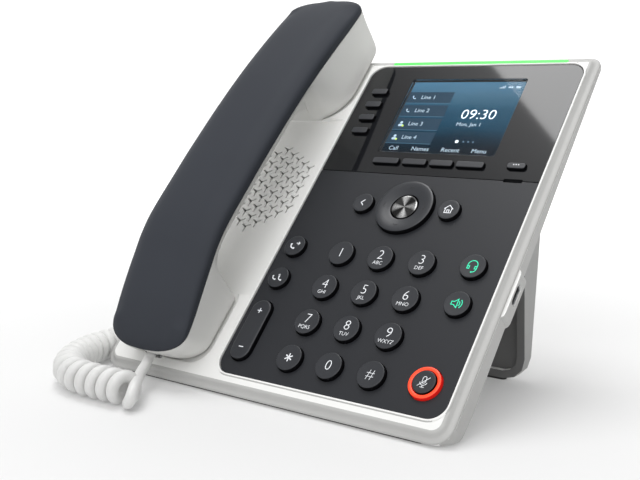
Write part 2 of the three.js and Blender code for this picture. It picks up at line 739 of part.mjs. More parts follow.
// Where each stretch of the cord runs, in desk coordinates.
const LEAD_ROUTE = [
  [PLUG.u, deskY(PLUG.outside - GAP, PLUG.w), deskZ(PLUG.outside - GAP, PLUG.w)],
  [-84.3, -109.6, 11.4],
  [-82.4, -112.6, 10.4],
  [-76.2, -121.4, 9.6],
  [-66.4, -132.8, 9.7],
  [-63.7, -136.6, 9],
  [-62.3, -139.4, 6.4],
  [-63.3, -139.8, 4],
  [-65.6, -138, 2.8],
  [-68.3, -134.6, 2.8],
  [-71.6, -133.6, 4.4],
];
const COIL_ROUTE = [
  [-73.6, -135.5, 7.5],
  [-88, -136, 7.5],
  [-98, -135.6, 7.5],
  [-107.5, -132.6, 7.5],
  [-116, -126, 7.5],
  [-123, -116.5, 7.5],
  [-127.8, -105, 7.5],
  [-129.8, -92.5, 7.5],
  [-128, -79, 7.5],
  [-121, -65.5, 7.5],
  [-107, -55.5, 7.5],
  [-90, -51, 7.5],
  [-70, -50, 7.5],
  [-50, -50.6, 7.5],
  [-34, -52, 7.5],
];
const TAIL_END = { v: JACK_FACE - 4, w: -11.9, u: -13 };
const TAIL_ROUTE = [
  [-33.4, -56.6, 2.9],
  [-28.5, -57.8, 2.7],
  [-22.4, -60, 2.9],
  [-16.6, -62.2, 5.4],
  [-13.4, -61.8, 11],
  [-13, -60, 18],
  [-13, -58.4, 25],
  [-13, -55.8, 33],
  [TAIL_END.u, deskY(TAIL_END.v, TAIL_END.w), deskZ(TAIL_END.v, TAIL_END.w)],
];

// ---------------------------------------------------------------- assembly

function buildHousings() {
  add(face, "front_housing", "white", frontHousing());
  add(face, "rear_housing", "white", rearHousing());
  add(face, "light_bar", "green", block(LIGHT_BAR, 0.5, -1.7, 0.1));
  add(face, "hook_switch", "grey", block(HOOK, 1.5, -4.6, CRADLE_FLOOR + 0.1));
  const cone = [
    [0, -13.8], [10, -13.8], [10, -9.6], [17.5, -7.4], [19, -7.4], [19, -5.4], [0, -5.4],
  ].map(([radius, w]) => new THREE.Vector2(radius, w));
  const speaker = new THREE.LatheGeometry(cone, 24).rotateX(Math.PI / 2);
  add(face, "loudspeaker", "black", speaker.translate(GRILLE.u, GRILLE.v, 0));
  add(face, "main_board", "board", block(BOARD, 2, BOARD.low, BOARD.high));
  add(face, "usb_c_port", "steel", usbPort());
  add(face, "ethernet_jack", "steel", jack(LAN, [[-50.6, -38.8], [-35.2, -23.4]], 15));
  add(face, "headset_jack", "black", jack(HEADSET_JACK, [[7.4, 16.6]], 13));
  add(face, "handset_cord_jack", "black", jack(CORD_JACK, [[-17.6, -8.4]], 13));
}

function buildPanel() {
  add(face, "display_bezel", "gloss", displayBezel());
  const glass = block(screenRect(WINDOW_MARGIN), 0.8, WINDOW_UNDER, PANEL_TOP);
  add(face, "display_window", "lens", glass);
  const screen = block(screenRect(MODULE_MARGIN), 0.5, -4.8, WINDOW_UNDER - GAP);
  add(face, "lcd_module", "screen", screen);
  add(face, "keypad_panel", "charcoal", keypadPanel());
  add(face, "key_mat", "grey", keyMat());
  const [muteU, muteV] = ROUND_KEYS.mute_key;
  const ring = annulus(muteU, muteV, MUTE_RING.inner, MUTE_RING.outer, PANEL_UNDER, 1.3);
  add(face, "mute_ring", "red", ring);
}

function buildKeys() {
  DIAL_NAMES.forEach((name, i) => {
    add(face, `key_${name}`, "key", roundCap(...dialPlace(i), DIAL.radius));
  });
  for (const [name, [u, v, radius]] of Object.entries(ROUND_KEYS)) {
    add(face, name, "key", roundCap(u, v, radius));
  }
  const carrier = annulus(NAV.u, NAV.v, 7.2, 12, -4.5, -3.9);
  add(face, "nav_carrier", "rubber", carrier);
  add(face, "nav_ring", "key", navRing());
  const select = [[-3.6, SELECT_RADIUS], [1.1, SELECT_RADIUS], [1.5, SELECT_RADIUS - 0.5]];
  const rings = select.map(([w, radius]) => circleRing(NAV.u, NAV.v, radius, w));
  add(face, "select_key", "select", loft(rings));
  add(face, "volume_rocker", "key", volumeRocker());
  for (let i = 0; i < LINE_KEYS.count; i++) {
    add(face, `line_key_${i + 1}`, "key", barCap(lineKeyRect(i), 1, 1.4));
  }
  SOFT_KEYS.forEach((span, i) => {
    add(face, `soft_key_${i + 1}`, "key", barCap(softKeyRect(span), 1, 1.2));
  });
  add(face, "more_key", "key", barCap(MORE_KEY, 1.2, 1.2));
}

function buildHandset() {
  const [top, bottom] = handsetShells();
  add(face, "handset_top_shell", "slate", top);
  add(face, "handset_bottom_shell", "grey", bottom);
  add(face, "handset_receiver", "black", disc(HANDSET.u, 20, 15, 1.4, 6.4, 24));
  add(face, "handset_microphone", "steel", disc(HANDSET.u, -122, 4.8, 1.8, 4.6, 16));
  const plug = {
    left: PLUG.u - PLUG.wide / 2,
    right: PLUG.u + PLUG.wide / 2,
    bottom: PLUG.outside,
    top: PLUG.outside + PLUG.long,
  };
  add(face, "handset_plug", "lens", block(plug, 0.4, PLUG.w - PLUG.high / 2, PLUG.w + PLUG.high / 2));
}

function buildStand() {
  const pegs = PEGS.map((u) =>
    block(
      { left: u, right: u + PEG.wide, bottom: PEG.low, top: PEG.high },
      1,
      BACK - GAP - 1,
      BACK - GAP + PEG.deep,
    ),
  );
  const inDesk = new THREE.Matrix4().makeRotationX(FACE_TILT).setPosition(0, 0, SCREEN_HEIGHT);
  const turned = pegs.map((peg) => toSolid(toGeometry(peg).applyMatrix4(inDesk)));
  add(desk, "stand", "white", joined(standBody(), ...turned));
  const footTop = BASE_GAP - GAP;
  const standFoot = { left: -96, right: 35, bottom: -10.4, top: -6.8 };
  const frontFoot = { left: -110, right: 48, bottom: -100.4, top: -94.6 };
  add(desk, "stand_foot", "rubber", block(standFoot, 1.5, 0, footTop));
  add(desk, "front_foot", "rubber", block(frontFoot, 2, 0, footTop));
}

function buildCord() {
  add(desk, "cord_lead", "cord", tube(LEAD_ROUTE, CORD.wire, 10, 4));
  add(desk, "cord_coil", "cord", tube(COIL_ROUTE, CORD.coil, 15, 6));
  add(desk, "cord_tail", "cord", tube(TAIL_ROUTE, CORD.wire, 12, 4));
  const body = { left: TAIL_END.u - 3.8, right: TAIL_END.u + 3.8, low: -14.9, high: -8.9 };
  add(face, "base_plug", "lens", upright(body, TAIL_END.v + GAP + 0.3, JACK_FACE + 9));
}

buildHousings();
buildPanel();
buildKeys();
buildHandset();
buildStand();
buildCord();

export default phone;
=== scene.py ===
import json
import math

import bmesh
import bpy
from mathutils import Matrix, Vector


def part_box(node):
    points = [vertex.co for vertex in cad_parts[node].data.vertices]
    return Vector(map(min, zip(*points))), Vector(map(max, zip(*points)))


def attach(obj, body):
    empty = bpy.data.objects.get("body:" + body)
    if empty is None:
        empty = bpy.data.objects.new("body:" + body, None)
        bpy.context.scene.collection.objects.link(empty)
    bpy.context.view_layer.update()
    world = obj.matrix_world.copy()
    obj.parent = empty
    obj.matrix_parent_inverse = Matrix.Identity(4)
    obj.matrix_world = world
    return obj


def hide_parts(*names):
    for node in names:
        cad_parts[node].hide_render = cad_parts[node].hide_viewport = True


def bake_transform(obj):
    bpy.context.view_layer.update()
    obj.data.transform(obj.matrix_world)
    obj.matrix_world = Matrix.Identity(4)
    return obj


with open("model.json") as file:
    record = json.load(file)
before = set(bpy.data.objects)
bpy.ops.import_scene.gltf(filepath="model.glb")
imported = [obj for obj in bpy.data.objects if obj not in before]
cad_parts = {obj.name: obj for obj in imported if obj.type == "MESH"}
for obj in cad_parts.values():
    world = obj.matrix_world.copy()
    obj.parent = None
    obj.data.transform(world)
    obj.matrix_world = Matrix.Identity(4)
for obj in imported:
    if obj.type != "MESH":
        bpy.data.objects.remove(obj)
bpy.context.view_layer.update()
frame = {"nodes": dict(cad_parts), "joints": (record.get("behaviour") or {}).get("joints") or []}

# ---- frames
# Face coordinates are millimetres on the leaning front: u right, v up, w out of it, with zero at the
# middle of the screen. Desk coordinates are x right, y back, z up, as in the phone's own design.

MM = 0.001
JOINTS = {joint["name"]: joint for joint in frame["joints"]}
OUT = Vector(JOINTS["handset_lift"]["axis"]).normalized()
TILT = math.atan2(-OUT.y, OUT.z)
WINDOW_TOP = -0.2  # w of the display window's surface
window_low, window_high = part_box("display_window")
WINDOW_THICK = 1.2
SCREEN_AT = (window_low + window_high) / 2 - OUT * (WINDOW_TOP - WINDOW_THICK / 2) * MM
THROUGH = (-20, 10)  # w levels of a cut that goes right through the face
FACE = Matrix.Translation(SCREEN_AT) @ Matrix.Rotation(TILT, 4, "X")
DESK = Matrix.Translation((30.45 * MM, 40.2 * MM, 0))
ROW = Matrix.Identity(4)


# ---- camera, cord first

def put(name, data, place=ROW):
    """An object that shows the data, in the frame place."""
    piece = bpy.data.objects.new(name, data)
    bpy.context.scene.collection.objects.link(piece)
    piece.matrix_world = place
    return piece


def make_camera():
    """The photo's camera, placed by its position, its right hand and the way it looks."""
    right = Vector((0.79613, 0.60513, 0))
    forward = Vector((-0.59829, 0.78712, -0.14998))
    up = right.cross(forward)
    turn = Matrix((right, up, -forward)).transposed().to_4x4()
    place = Matrix.Translation((0.25411, -0.35221, 0.12572)) @ turn
    camera = put("camera", bpy.data.cameras.new("camera"), place)
    camera.data.lens = 55.32
    camera.data.sensor_width = 36
    camera.data.clip_end = 50
    bpy.context.scene.camera = camera


def smoothstep(x, low, high):
    """0 below low, 1 above high, and a smooth rise between them."""
    t = min(max((x - low) / (high - low), 0), 1)
    return t * t * (3 - 2 * t)


def hermite(start, end, leaving, arriving, t):
    """The curve from start to end with the slopes leaving and arriving, at t from 0 to 1."""
    ends = start * (1 + 2 * t) * (1 - t) ** 2 + end * t * t * (3 - 2 * t)
    return ends + leaving * t * (1 - t) ** 2 - arriving * t * t * (1 - t)


def catmull(points, fine, closed=False):
    """A smooth line through the points, with fine steps between each two."""
    count = len(points)

    def point(k):
        return Vector(points[k % count if closed else min(max(k, 0), count - 1)])

    made = []
    for i in range(count if closed else count - 1):
        p0, p1, p2, p3 = (point(i + k) for k in (-1, 0, 1, 2))
        a, b, c = (max((q - p).length, 1e-6) ** 0.5 for p, q in ((p0, p1), (p1, p2), (p2, p3)))
        m1 = (p2 - p1) if p0 == p1 else b * ((p1 - p0) / a - (p2 - p0) / (a + b) + (p2 - p1) / b)
        m2 = (p2 - p1) if p2 == p3 else b * ((p2 - p1) / b - (p3 - p1) / (b + c) + (p3 - p2) / c)
        made += [hermite(p1, p2, m1, m2, k / fine) for k in range(fine)]
    return made if closed else [*made, point(count)]


# The handset's plug: its middle, the v of its outer end, and half the width and height of its room.
PLUG = {"u": -84.4, "w": 9.2, "outside": -147.9, "half_u": 3.7, "half_w": 3}


def face_to_desk(u, v, w):
    """A point of the face in desk millimetres."""
    return tuple((DESK.inverted() @ FACE @ Vector((u * MM, v * MM, w * MM))) / MM)


LEAD_ROUTE = [
    face_to_desk(PLUG["u"], PLUG["outside"] + 3, PLUG["w"]),
    face_to_desk(PLUG["u"], PLUG["outside"], PLUG["w"]),
    (-84.3, -109.6, 11.4), (-82.4, -112.6, 10.4), (-76.2, -121.4, 9.6), (-66.4, -132.8, 9.7),
    (-63.7, -136.6, 9), (-62.3, -139.4, 6.4), (-63.3, -139.8, 4), (-65.6, -138, 2.8),
]
COIL_HEIGHT = 7.5
COIL_ROUTE = [
    (-67.6, -135.3), (-73.6, -135.5), (-88, -136), (-98, -135.6), (-107.5, -132.6), (-116, -126),
    (-123, -116.5), (-127.8, -105), (-129.8, -92.5), (-128, -79), (-121, -65.5), (-107, -55.5), (-90, -51),
    (-70, -50), (-50, -50.6), (-35, -51.9),
]
TAIL_ROUTE = [
    (-32.2, -56.4, 2.9), (-28.5, -57.8, 2.7), (-22.4, -60, 2.9), (-16.6, -62.2, 5.4),
    (-13.4, -61.8, 11), (-13, -60, 18), (-13, -58.4, 25), (-13, -55.8, 33),
    face_to_desk(-13, -84.9, -11.9),
]
WIRE = 5.2
LEAD_TAPER = 1.1  # how much thinner the lead is at the handset's plug
COIL_RADIUS = 4.8  # of the wire's centre about the coil's middle
COIL_TURN = {"front": 6.3, "rest": 5.35, "from": 35, "to": 75}  # pitch, and where it eases
COIL_START = math.radians(-100)  # where round the coil its first turn begins
COIL_SIDES = 16


def coil_turns():
    """The helix of the curly stretch: points round the coil's middle line, in desk millimetres."""
    middle = catmull([(x, y, COIL_HEIGHT) for x, y in COIL_ROUTE], 24)
    turns = []
    angle = COIL_START
    gone = 0.0
    step = 2 * math.pi / COIL_SIDES
    i = 0
    while i + 1 < len(middle):
        ahead = smoothstep(gone, COIL_TURN["from"], COIL_TURN["to"])
        pitch = COIL_TURN["front"] + (COIL_TURN["rest"] - COIL_TURN["front"]) * ahead
        along, target = 0.0, pitch / COIL_SIDES
        while i + 1 < len(middle) and along < target:
            along += (middle[i + 1] - middle[i]).length
            i += 1
        if i + 1 >= len(middle):
            break
        back = (along - target) / max((middle[i] - middle[i - 1]).length, 1e-6)
        at = middle[i].lerp(middle[i - 1], back)
        way = (middle[i] - middle[i - 1]).normalized()
        side = Vector((0, 0, 1)).cross(way).normalized()
        turns.append(at + COIL_RADIUS * (side * math.cos(angle) + Vector((0, 0, 1)) * math.sin(angle)))
        middle[i - 1] = at
        i -= 1
        gone += target
        angle -= step
    return turns


def walls(made, rings):
    """Faces between each ring of vertices and the next."""
    for low, high in zip(rings, rings[1:]):
        count = len(low)
        for k in range(count):
            made.faces.new((low[k], low[(k + 1) % count], high[(k + 1) % count], high[k]))


def caps(made, rings):
    """Closes the first and the last ring of vertices."""
    made.faces.new(rings[0][::-1])
    made.faces.new(rings[-1])


def tube_mesh(name, line, radii, sides=18):
    """A round tube round a line of desk points, in the row frame, closed at both ends."""
    made = bmesh.new()
    rings = []
    normal = Vector((0, 0, 1))
    for i, at in enumerate(line):
        way = (line[min(i + 1, len(line) - 1)] - line[max(i - 1, 0)]).normalized()
        normal = (normal - way * normal.dot(way)).normalized()
        across = way.cross(normal)
        radius = radii[i]
        rings.append([
            made.verts.new(DESK @ ((at + radius * (normal * math.cos(a) + across * math.sin(a))) * MM))
            for a in (2 * math.pi * k / sides for k in range(sides))
        ])
    walls(made, rings)
    caps(made, rings)
    return finish_mesh(name, made, ROW, sharp=60)


def finish_mesh(name, made, place, sharp=35):
    """Turns the built mesh into an object in the frame place."""
    bmesh.ops.recalc_face_normals(made, faces=made.faces[:])
    mesh = bpy.data.meshes.new(name)
    made.to_mesh(mesh)
    made.free()
    smooth(mesh, sharp)
    return put(name, mesh, place)


def smooth(mesh, sharp=35):
    """Smooth shading, except over edges sharper than sharp degrees."""
    mesh.polygons.foreach_set("use_smooth", [True] * len(mesh.polygons))
    mesh.set_sharp_from_angle(angle=math.radians(sharp))


ROUTE_STEPS = 8  # points on the lead and the tail between two of their routes' points


def make_cord(finish):
    """The coil with its tail as one curve that stays put, and the lead as a tube."""
    turns = coil_turns()
    tail = [Vector(p) for p in TAIL_ROUTE]
    line = turns + catmull([turns[-1], *tail], ROUTE_STEPS)[ROUTE_STEPS // 2:]
    curve = bpy.data.curves.new("handset_cord", "CURVE")
    curve.dimensions = "3D"
    spline = curve.splines.new("NURBS")
    spline.points.add(len(line) - 1)
    for point, at in zip(spline.points, line[::-1]):
        point.co = (*(DESK @ (at * MM)), 1)
    spline.order_u = 4
    spline.use_endpoint_u = True
    spline.resolution_u = 3
    curve.bevel_depth = WIRE / 2 * MM
    curve.bevel_resolution = 4
    curve.use_fill_caps = True
    cord = put("handset_cord", curve)
    curve.materials.append(finish)
    total = sum((b - a).length for a, b in zip(line, line[1:])) * MM
    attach(cord, "phone")
    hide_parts("cord_coil", "cord_tail")

    route = [Vector(p) for p in LEAD_ROUTE] + turns[:3]
    lead_line = catmull(route, ROUTE_STEPS)
    last = len(lead_line) - 1
    thick = [WIRE / 2 - LEAD_TAPER / 2 * (1 - i / last) for i in range(last + 1)]
    lead = tube_mesh("handset_cord_lead", lead_line, thick)
    lead.data.materials.append(finish)
    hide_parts("cord_lead")
    path = [DESK @ (p * MM) for p in lead_line]
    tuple(path[-30])
    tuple(path[6])
    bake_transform(lead)
    long = sum((b - a).length for a, b in zip(path, path[1:]))
    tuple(path[0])


# ---- materials

SCREEN = (-28.8, 28.8, -21.6, 21.6)
GRAIN_DEPTH = 0.05 * MM
# Painted highlights of the spun metal: bright and dark rays in the select key's colour.
PAINTED_RAYS = {"count": 4, "turn": 0.9, "dark_share": -0.4, "dark": 0.03, "bright": 0.50}
BAND_HEIGHT = 20 * MM  # how far the picture's bands shift its tones up and down
SKY_TONES = [
    (0.0, (0.001, 0.006, 0.012)), (0.22, (0.002, 0.022, 0.044)), (0.45, (0.004, 0.055, 0.105)),
    (0.62, (0.020, 0.098, 0.170)), (0.8, (0.055, 0.150, 0.235)), (1.0, (0.075, 0.205, 0.330)),
]


def feed(tree, target, inputs):
    """Sets a node's inputs, each to a value or to the output that drives it."""
    for socket, value in inputs.items():
        if isinstance(value, bpy.types.NodeSocket):
            tree.links.new(value, target.inputs[socket])
        else:
            target.inputs[socket].default_value = value


def add(tree, kind, inputs, output=None, **settings):
    """Adds a shader node, and returns its named output, or else its first."""
    made = tree.nodes.new("ShaderNode" + kind)
    for name, value in settings.items():
        setattr(made, name, value)
    feed(tree, made, inputs)
    return made.outputs[output or 0]


def bare_material(name):
    """A new principled material, with its node tree, its shader and the point in the object's frame."""
    made = bpy.data.materials.new(name)
    made.use_nodes = True
    tree = made.node_tree
    return made, tree, tree.nodes["Principled BSDF"], add(tree, "TexCoord", {}, "Object")


def material(
    name, color, roughness, shine=0.5, relief=0.08, vary=0.04, rough_vary=0.05, grain=2600, patch=26,
    sockets=None,
):
    """A principled material whose colour, roughness and relief vary finely over the surface."""
    made, tree, shader, point = bare_material(name)
    fine = add(tree, "TexNoise", {"Vector": point, "Scale": grain, "Detail": 3}, "Fac")
    broad = add(tree, "TexNoise", {"Vector": point, "Scale": patch, "Detail": 4}, "Fac")
    tone = add(tree, "MapRange", {"Value": broad, "To Min": 1 - vary, "To Max": 1 + vary})
    tint = {"Factor": 1, "A": (*color, 1), "B": tone}
    base = add(tree, "Mix", tint, "Result", data_type="RGBA", blend_type="MULTIPLY")
    low, high = roughness - rough_vary, roughness + rough_vary
    rough = add(tree, "MapRange", {"Value": fine, "To Min": low, "To Max": high})
    feed(tree, shader, {"Base Color": base, "Roughness": rough, "Specular IOR Level": shine})
    if relief > 0:
        bump = add(tree, "Bump", {"Strength": relief, "Distance": GRAIN_DEPTH, "Height": fine})
        feed(tree, shader, {"Normal": bump})
    feed(tree, shader, sockets or {})
    return made


def glowing(name, color, strength, shine=0.5):
    """A material with some light of its own."""
    light = {"Emission Color": (*color, 1), "Emission Strength": strength}
    return material(name, color, 0.4, shine, relief=0, sockets=light)


def clear(name, color, roughness, index=1.46):
    """A see-through material."""
    return material(
        name, color, roughness, relief=0, vary=0.01, rough_vary=0.01,
        sockets={"Transmission Weight": 1.0, "IOR": index},
    )


def brushed_disc(name):
    """Spun metal: highlights stretched about the select key's middle, and painted highlights as bright and
    dark rays in its colour.
    """
    made = material(name, (0.20, 0.21, 0.22), 0.28, sockets={"Metallic": 1.0, "Anisotropic": 0.92})
    tree = made.node_tree
    point = add(tree, "TexCoord", {}, "Object")
    angle = add(tree, "TexGradient", {"Vector": point}, "Fac", gradient_type="RADIAL")
    turn = {0: angle, 1: PAINTED_RAYS["count"] * 2 * math.pi, 2: PAINTED_RAYS["turn"]}
    wave = add(tree, "Math", {0: add(tree, "Math", turn, operation="MULTIPLY_ADD")}, operation="SINE")
    tone = {"Value": wave, "From Min": PAINTED_RAYS["dark_share"], "To Min": PAINTED_RAYS["dark"], "To Max": PAINTED_RAYS["bright"]}
    feed(tree, tree.nodes["Principled BSDF"], {
        "Tangent": add(tree, "Tangent", {}, direction_type="RADIAL", axis="Z"),
        "Base Color": add(tree, "MapRange", tone),
    })
    return made


def wallpaper(name):
    """The screen's picture: blue haze above, deep navy below, with soft slanting bands."""
    made, tree, shader, point = bare_material(name)
    slant = {"Vector": point, "Rotation": (0, 0, math.radians(-24)), "Scale": (14, 70, 1)}
    bands = add(tree, "TexNoise", {"Vector": add(tree, "Mapping", slant), "Scale": 1.0, "Detail": 3}, "Fac")
    along = add(tree, "SeparateXYZ", {"Vector": point}, "Y")
    wobble = add(tree, "Math", {0: bands, 1: BAND_HEIGHT, 2: along}, operation="MULTIPLY_ADD")
    low, high = (edge * MM + BAND_HEIGHT / 2 for edge in SCREEN[2:])
    height = add(tree, "MapRange", {"Value": wobble, "From Min": low, "From Max": high})
    ramp = tree.nodes.new("ShaderNodeValToRGB")
    elements = ramp.color_ramp.elements
    for element, (_, color) in zip(elements, (SKY_TONES[0], SKY_TONES[-1])):
        element.color = (*color, 1)
    for at, color in SKY_TONES[1:-1]:
        elements.new(at).color = (*color, 1)
    feed(tree, ramp, {"Fac": height})
    feed(tree, shader, {
        "Emission Color": ramp.outputs["Color"], "Emission Strength": 1.0,
        "Base Color": (0.002, 0.003, 0.005, 1), "Specular IOR Level": 0.05, "Roughness": 0.4,
    })
    return made


WHITE = material("white_case", (0.84, 0.84, 0.825), 0.5, relief=0.16, vary=0.015)
# Painted shade: a darker copy of the white case for its sides and outer edge; the coarser grain is its real
# finish.
WHITE_PAINTED_SHADE = material("white_case_painted_shade", (0.47, 0.47, 0.46), 0.5, relief=0.5, vary=0.03, grain=1600)
GREY = material("grey_case", (0.68, 0.68, 0.66), 0.5, relief=0.12, vary=0.015)
GLOSS = material("gloss_black", (0.008, 0.0085, 0.010), 0.05, 0.6, relief=0.0, rough_vary=0.015)
CHARCOAL = material("charcoal_panel", (0.0175, 0.019, 0.023), 0.42, 0.36, relief=0.1)
SLATE = material("slate_handset", (0.041, 0.045, 0.054), 0.55, 0.08, relief=0.14, vary=0.05)
KEY = material("key_cap", (0.023, 0.025, 0.030), 0.36, relief=0.08)
# Painted shade on the sides of the key caps.
KEY_PAINTED_SHADE = material("key_side_painted_shade", (0.003, 0.003, 0.004), 0.5, 0.12, relief=0.05)
METAL = brushed_disc("metal_key")
LENS = clear("clear_lens", (1.0, 1.0, 1.0), 0.01, 1.16)
PLUG_CLEAR = clear("clear_plug", (0.94, 0.96, 0.97), 0.12)
PICTURE = wallpaper("screen")
GREEN = glowing("green_light", (0.06, 0.70, 0.08), 0.55)
RED = glowing("red_light", (0.92, 0.060, 0.016), 0.45)
# Painted shade: a darker, dimmer copy of the red glow for the mute ring's sides.
RED_PAINTED_SHADE = glowing("red_light_painted_shade", (0.70, 0.010, 0.006), 0.30)
# Painted shade: darker copies of the stand's plastic for its hollow inside and its side walls.
STAND_INSIDE_PAINTED_SHADE = material("stand_inside_painted_shade", (0.13, 0.13, 0.13), 0.55)
STAND_SIDE_PAINTED_SHADE = material("stand_side_painted_shade", (0.36, 0.36, 0.355), 0.5, relief=0.4, vary=0.03, grain=1600)
SILICONE = material("silicone", (0.30, 0.30, 0.30), 0.7, relief=0.2)
BOARD = material("circuit_board", (0.02, 0.16, 0.06), 0.4, relief=0.3, vary=0.2, patch=400)
BLACK = material("black_plastic", (0.012, 0.012, 0.014), 0.5, relief=0.1)
PLATED = material("plated_steel", (0.62, 0.63, 0.64), 0.28, vary=0.06, sockets={"Metallic": 1.0})
RUBBER = material("rubber_foot", (0.03, 0.03, 0.03), 0.85, relief=0.4)
JACKET = material("cord_jacket", (0.72, 0.72, 0.71), 0.42, relief=0.1, vary=0.02)
# Printed white legends, with a faint painted glow.
LEGEND_PAINTED_GLOW = glowing("printed_white_painted_glow", (0.78, 0.80, 0.83), 0.12)
LEGEND_GREEN = glowing("printed_green", (0.03, 0.66, 0.38), 0.5)
# Painted shade for the nav ring's engraved carets, drawn as dark strokes.
CARET_PAINTED_SHADE = material("caret_painted_shade", (0.010, 0.010, 0.012), 0.5, relief=0)
SCREEN_SHINE = 0.04
UI_WHITE = glowing("screen_white", (0.85, 0.92, 1.0), 0.85, SCREEN_SHINE)
UI_GREY = glowing("screen_grey", (0.45, 0.58, 0.68), 0.42, SCREEN_SHINE)
UI_DIM = glowing("screen_dim", (0.10, 0.18, 0.26), 0.5, SCREEN_SHINE)
UI_ROW = glowing("screen_row", (0.016, 0.036, 0.058), 0.9, SCREEN_SHINE)
UI_EDGE = glowing("screen_edge", (0.05, 0.12, 0.18), 0.4, SCREEN_SHINE)
UI_LIME = glowing("screen_lime", (0.55, 0.75, 0.10), 0.7, SCREEN_SHINE)


# ---- solids in face millimetres

def rect_ring(rect, radii, w, grow=0.0, steps=10):
    """Points round a rectangle (left, right, bottom, top) with round corners, grown at height w."""
    left, right, bottom, top = rect
    lower_right, upper_right, upper_left, lower_left = (
        radii if isinstance(radii, (list, tuple)) else (radii,) * 4
    )
    corners = [
        (right, bottom, lower_right, -1, 1, -90), (right, top, upper_right, -1, -1, 0),
        (left, top, upper_left, 1, -1, 90), (left, bottom, lower_left, 1, 1, 180),
    ]
    ring = []
    for x, y, radius, in_x, in_y, start in corners:
        reach = max(radius + grow, 0.02)
        for i in range(steps + 1):
            angle = math.radians(start + 90 * i / steps)
            ring.append(Vector((
                x + in_x * radius + reach * math.cos(angle),
                y + in_y * radius + reach * math.sin(angle),
                w,
            )))
    return ring


def grown(rect, by):
    """A rectangle with each side moved outwards."""
    return (rect[0] - by, rect[1] + by, rect[2] - by, rect[3] + by)


def spoke(degrees):
    """The way outwards at an angle on the face, and the way across it."""
    a = math.radians(degrees)
    return Vector((math.cos(a), math.sin(a))), Vector((-math.sin(a), math.cos(a)))


def circle_ring(u, v, radius, w, steps=56):
    angles = [2 * math.pi * i / steps for i in range(steps)]
    return [Vector((u + radius * math.cos(a), v + radius * math.sin(a), w)) for a in angles]


def loft(name, rings, place=FACE, sharp=35):
    """A closed solid through rings of as many points each, in millimetres."""
    made = bmesh.new()
    lines = [[made.verts.new(p * MM) for p in ring] for ring in rings]
    walls(made, lines)
    caps(made, lines)
    return finish_mesh(name, made, place, sharp)


def turned(name, u, v, profile, steps):
    """A ring: a closed profile of (radius, w) turned about a point of the face."""
    made = bmesh.new()
    rings = [circle_ring(u, v, radius, w, steps) for radius, w in profile]
    lines = [[made.verts.new(p * MM) for p in ring] for ring in rings]
    walls(made, lines + lines[:1])
    return finish_mesh(name, made, FACE)


def prism(outline, low, high):
    """Rings of an upright solid on any outline of (u, v)."""
    return [[Vector((u, v, w)) for u, v in outline] for w in (low, high)]


def edge_levels(low, high, edge, grow=0.0, steps=5):
    """(w, growth) levels of a solid whose upper edge is rounded off."""
    turns = [math.pi / 2 * i / steps for i in range(steps + 1)]
    return [(low, grow)] + [
        (high - edge * (1 - math.sin(a)), grow - edge * (1 - math.cos(a))) for a in turns
    ]


def cut(piece, tool, how="DIFFERENCE"):
    """Cuts, joins or intersects piece with tool, which is used up."""
    change = piece.modifiers.new("change", "BOOLEAN")
    change.operation = how
    change.object = tool
    change.solver = "MANIFOLD"
    bpy.context.view_layer.update()
    graph = bpy.context.evaluated_depsgraph_get()
    made = bpy.data.meshes.new_from_object(piece.evaluated_get(graph))
    piece.modifiers.clear()
    piece.data = made
    bpy.data.objects.remove(tool)
    smooth(made)
    return piece


def joined(name, pieces, place=FACE, sharp=35):
    """One mesh made of several separate ones."""
    made = bmesh.new()
    for piece in pieces:
        made.from_mesh(piece.data)
        bpy.data.objects.remove(piece)
    mesh = bpy.data.meshes.new(name)
    made.to_mesh(mesh)
    made.free()
    smooth(mesh, sharp)
    return put(name, mesh, place)


def rounded(name, rect, radii, levels, steps=14):
    """A solid with round corners whose (w, growth) levels shape its sides."""
    return loft(name, [rect_ring(rect, radii, w, grow, steps) for w, grow in levels])


def block(name, rect, radii, low, high, grow=0.0, steps=10):
    return rounded(name, rect, radii, [(low, grow), (high, grow)], steps)


def disc(name, u, v, radius, low, high, steps=56):
    return loft(name, [circle_ring(u, v, radius, w, steps) for w in (low, high)])


def dress(piece, finish, body, slot, *nodes):
    """Gives a piece its material, body and the CAD nodes that it stands for; the slot is not used."""
    piece.data.materials.clear()
    piece.data.materials.append(finish)
    flatten = piece.modifiers.new("flat faces stay flat", "WEIGHTED_NORMAL")
    flatten.keep_sharp = True
    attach(piece, body)
    if nodes:
        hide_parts(*nodes)
    return piece


def settle(piece):
    """Moves a piece's turned frame into its mesh, so that its box is as small as the piece."""
    piece.data.transform(piece.matrix_world)
    piece.matrix_world = ROW
    return piece


def two_tone(piece, second, chosen):
    """Gives one more material to the faces that are chosen."""
    piece.data.materials.append(second)
    for face in piece.data.polygons:
        if chosen(face):
            face.material_index = len(piece.data.materials) - 1


# ---- front housing

HOUSING = (-121.5, 59.3, -152.8, 36.2)
HOUSING_RADII = (8, 5, 8, 8.5)
PANEL = (-55.4, 54.6, -144.6, 30.7)
PANEL_RADIUS = 7
PANEL_SPLIT = -35
LIGHT_BAR = (-45.4, 45.2, 31.8, 33.3)
HANDSET_U = -84.4
CRADLE_FLOOR = -1.5
GAP = 0.3
EAR = {"half": 25.6, "bottom": -4.2, "top": 70, "radius": 18.4}
MOUTH = {"half": 20.6, "bottom": -143, "top": -107, "lower": 9, "upper": 4}
SCOOP = {"half": 27, "bottom": -107, "top": -4, "depth": 2.6}
GRILLE = {"v": -46, "pitch": 5.93, "rings": 4, "arm": 3.1, "width": 0.95}
SEAM = -3
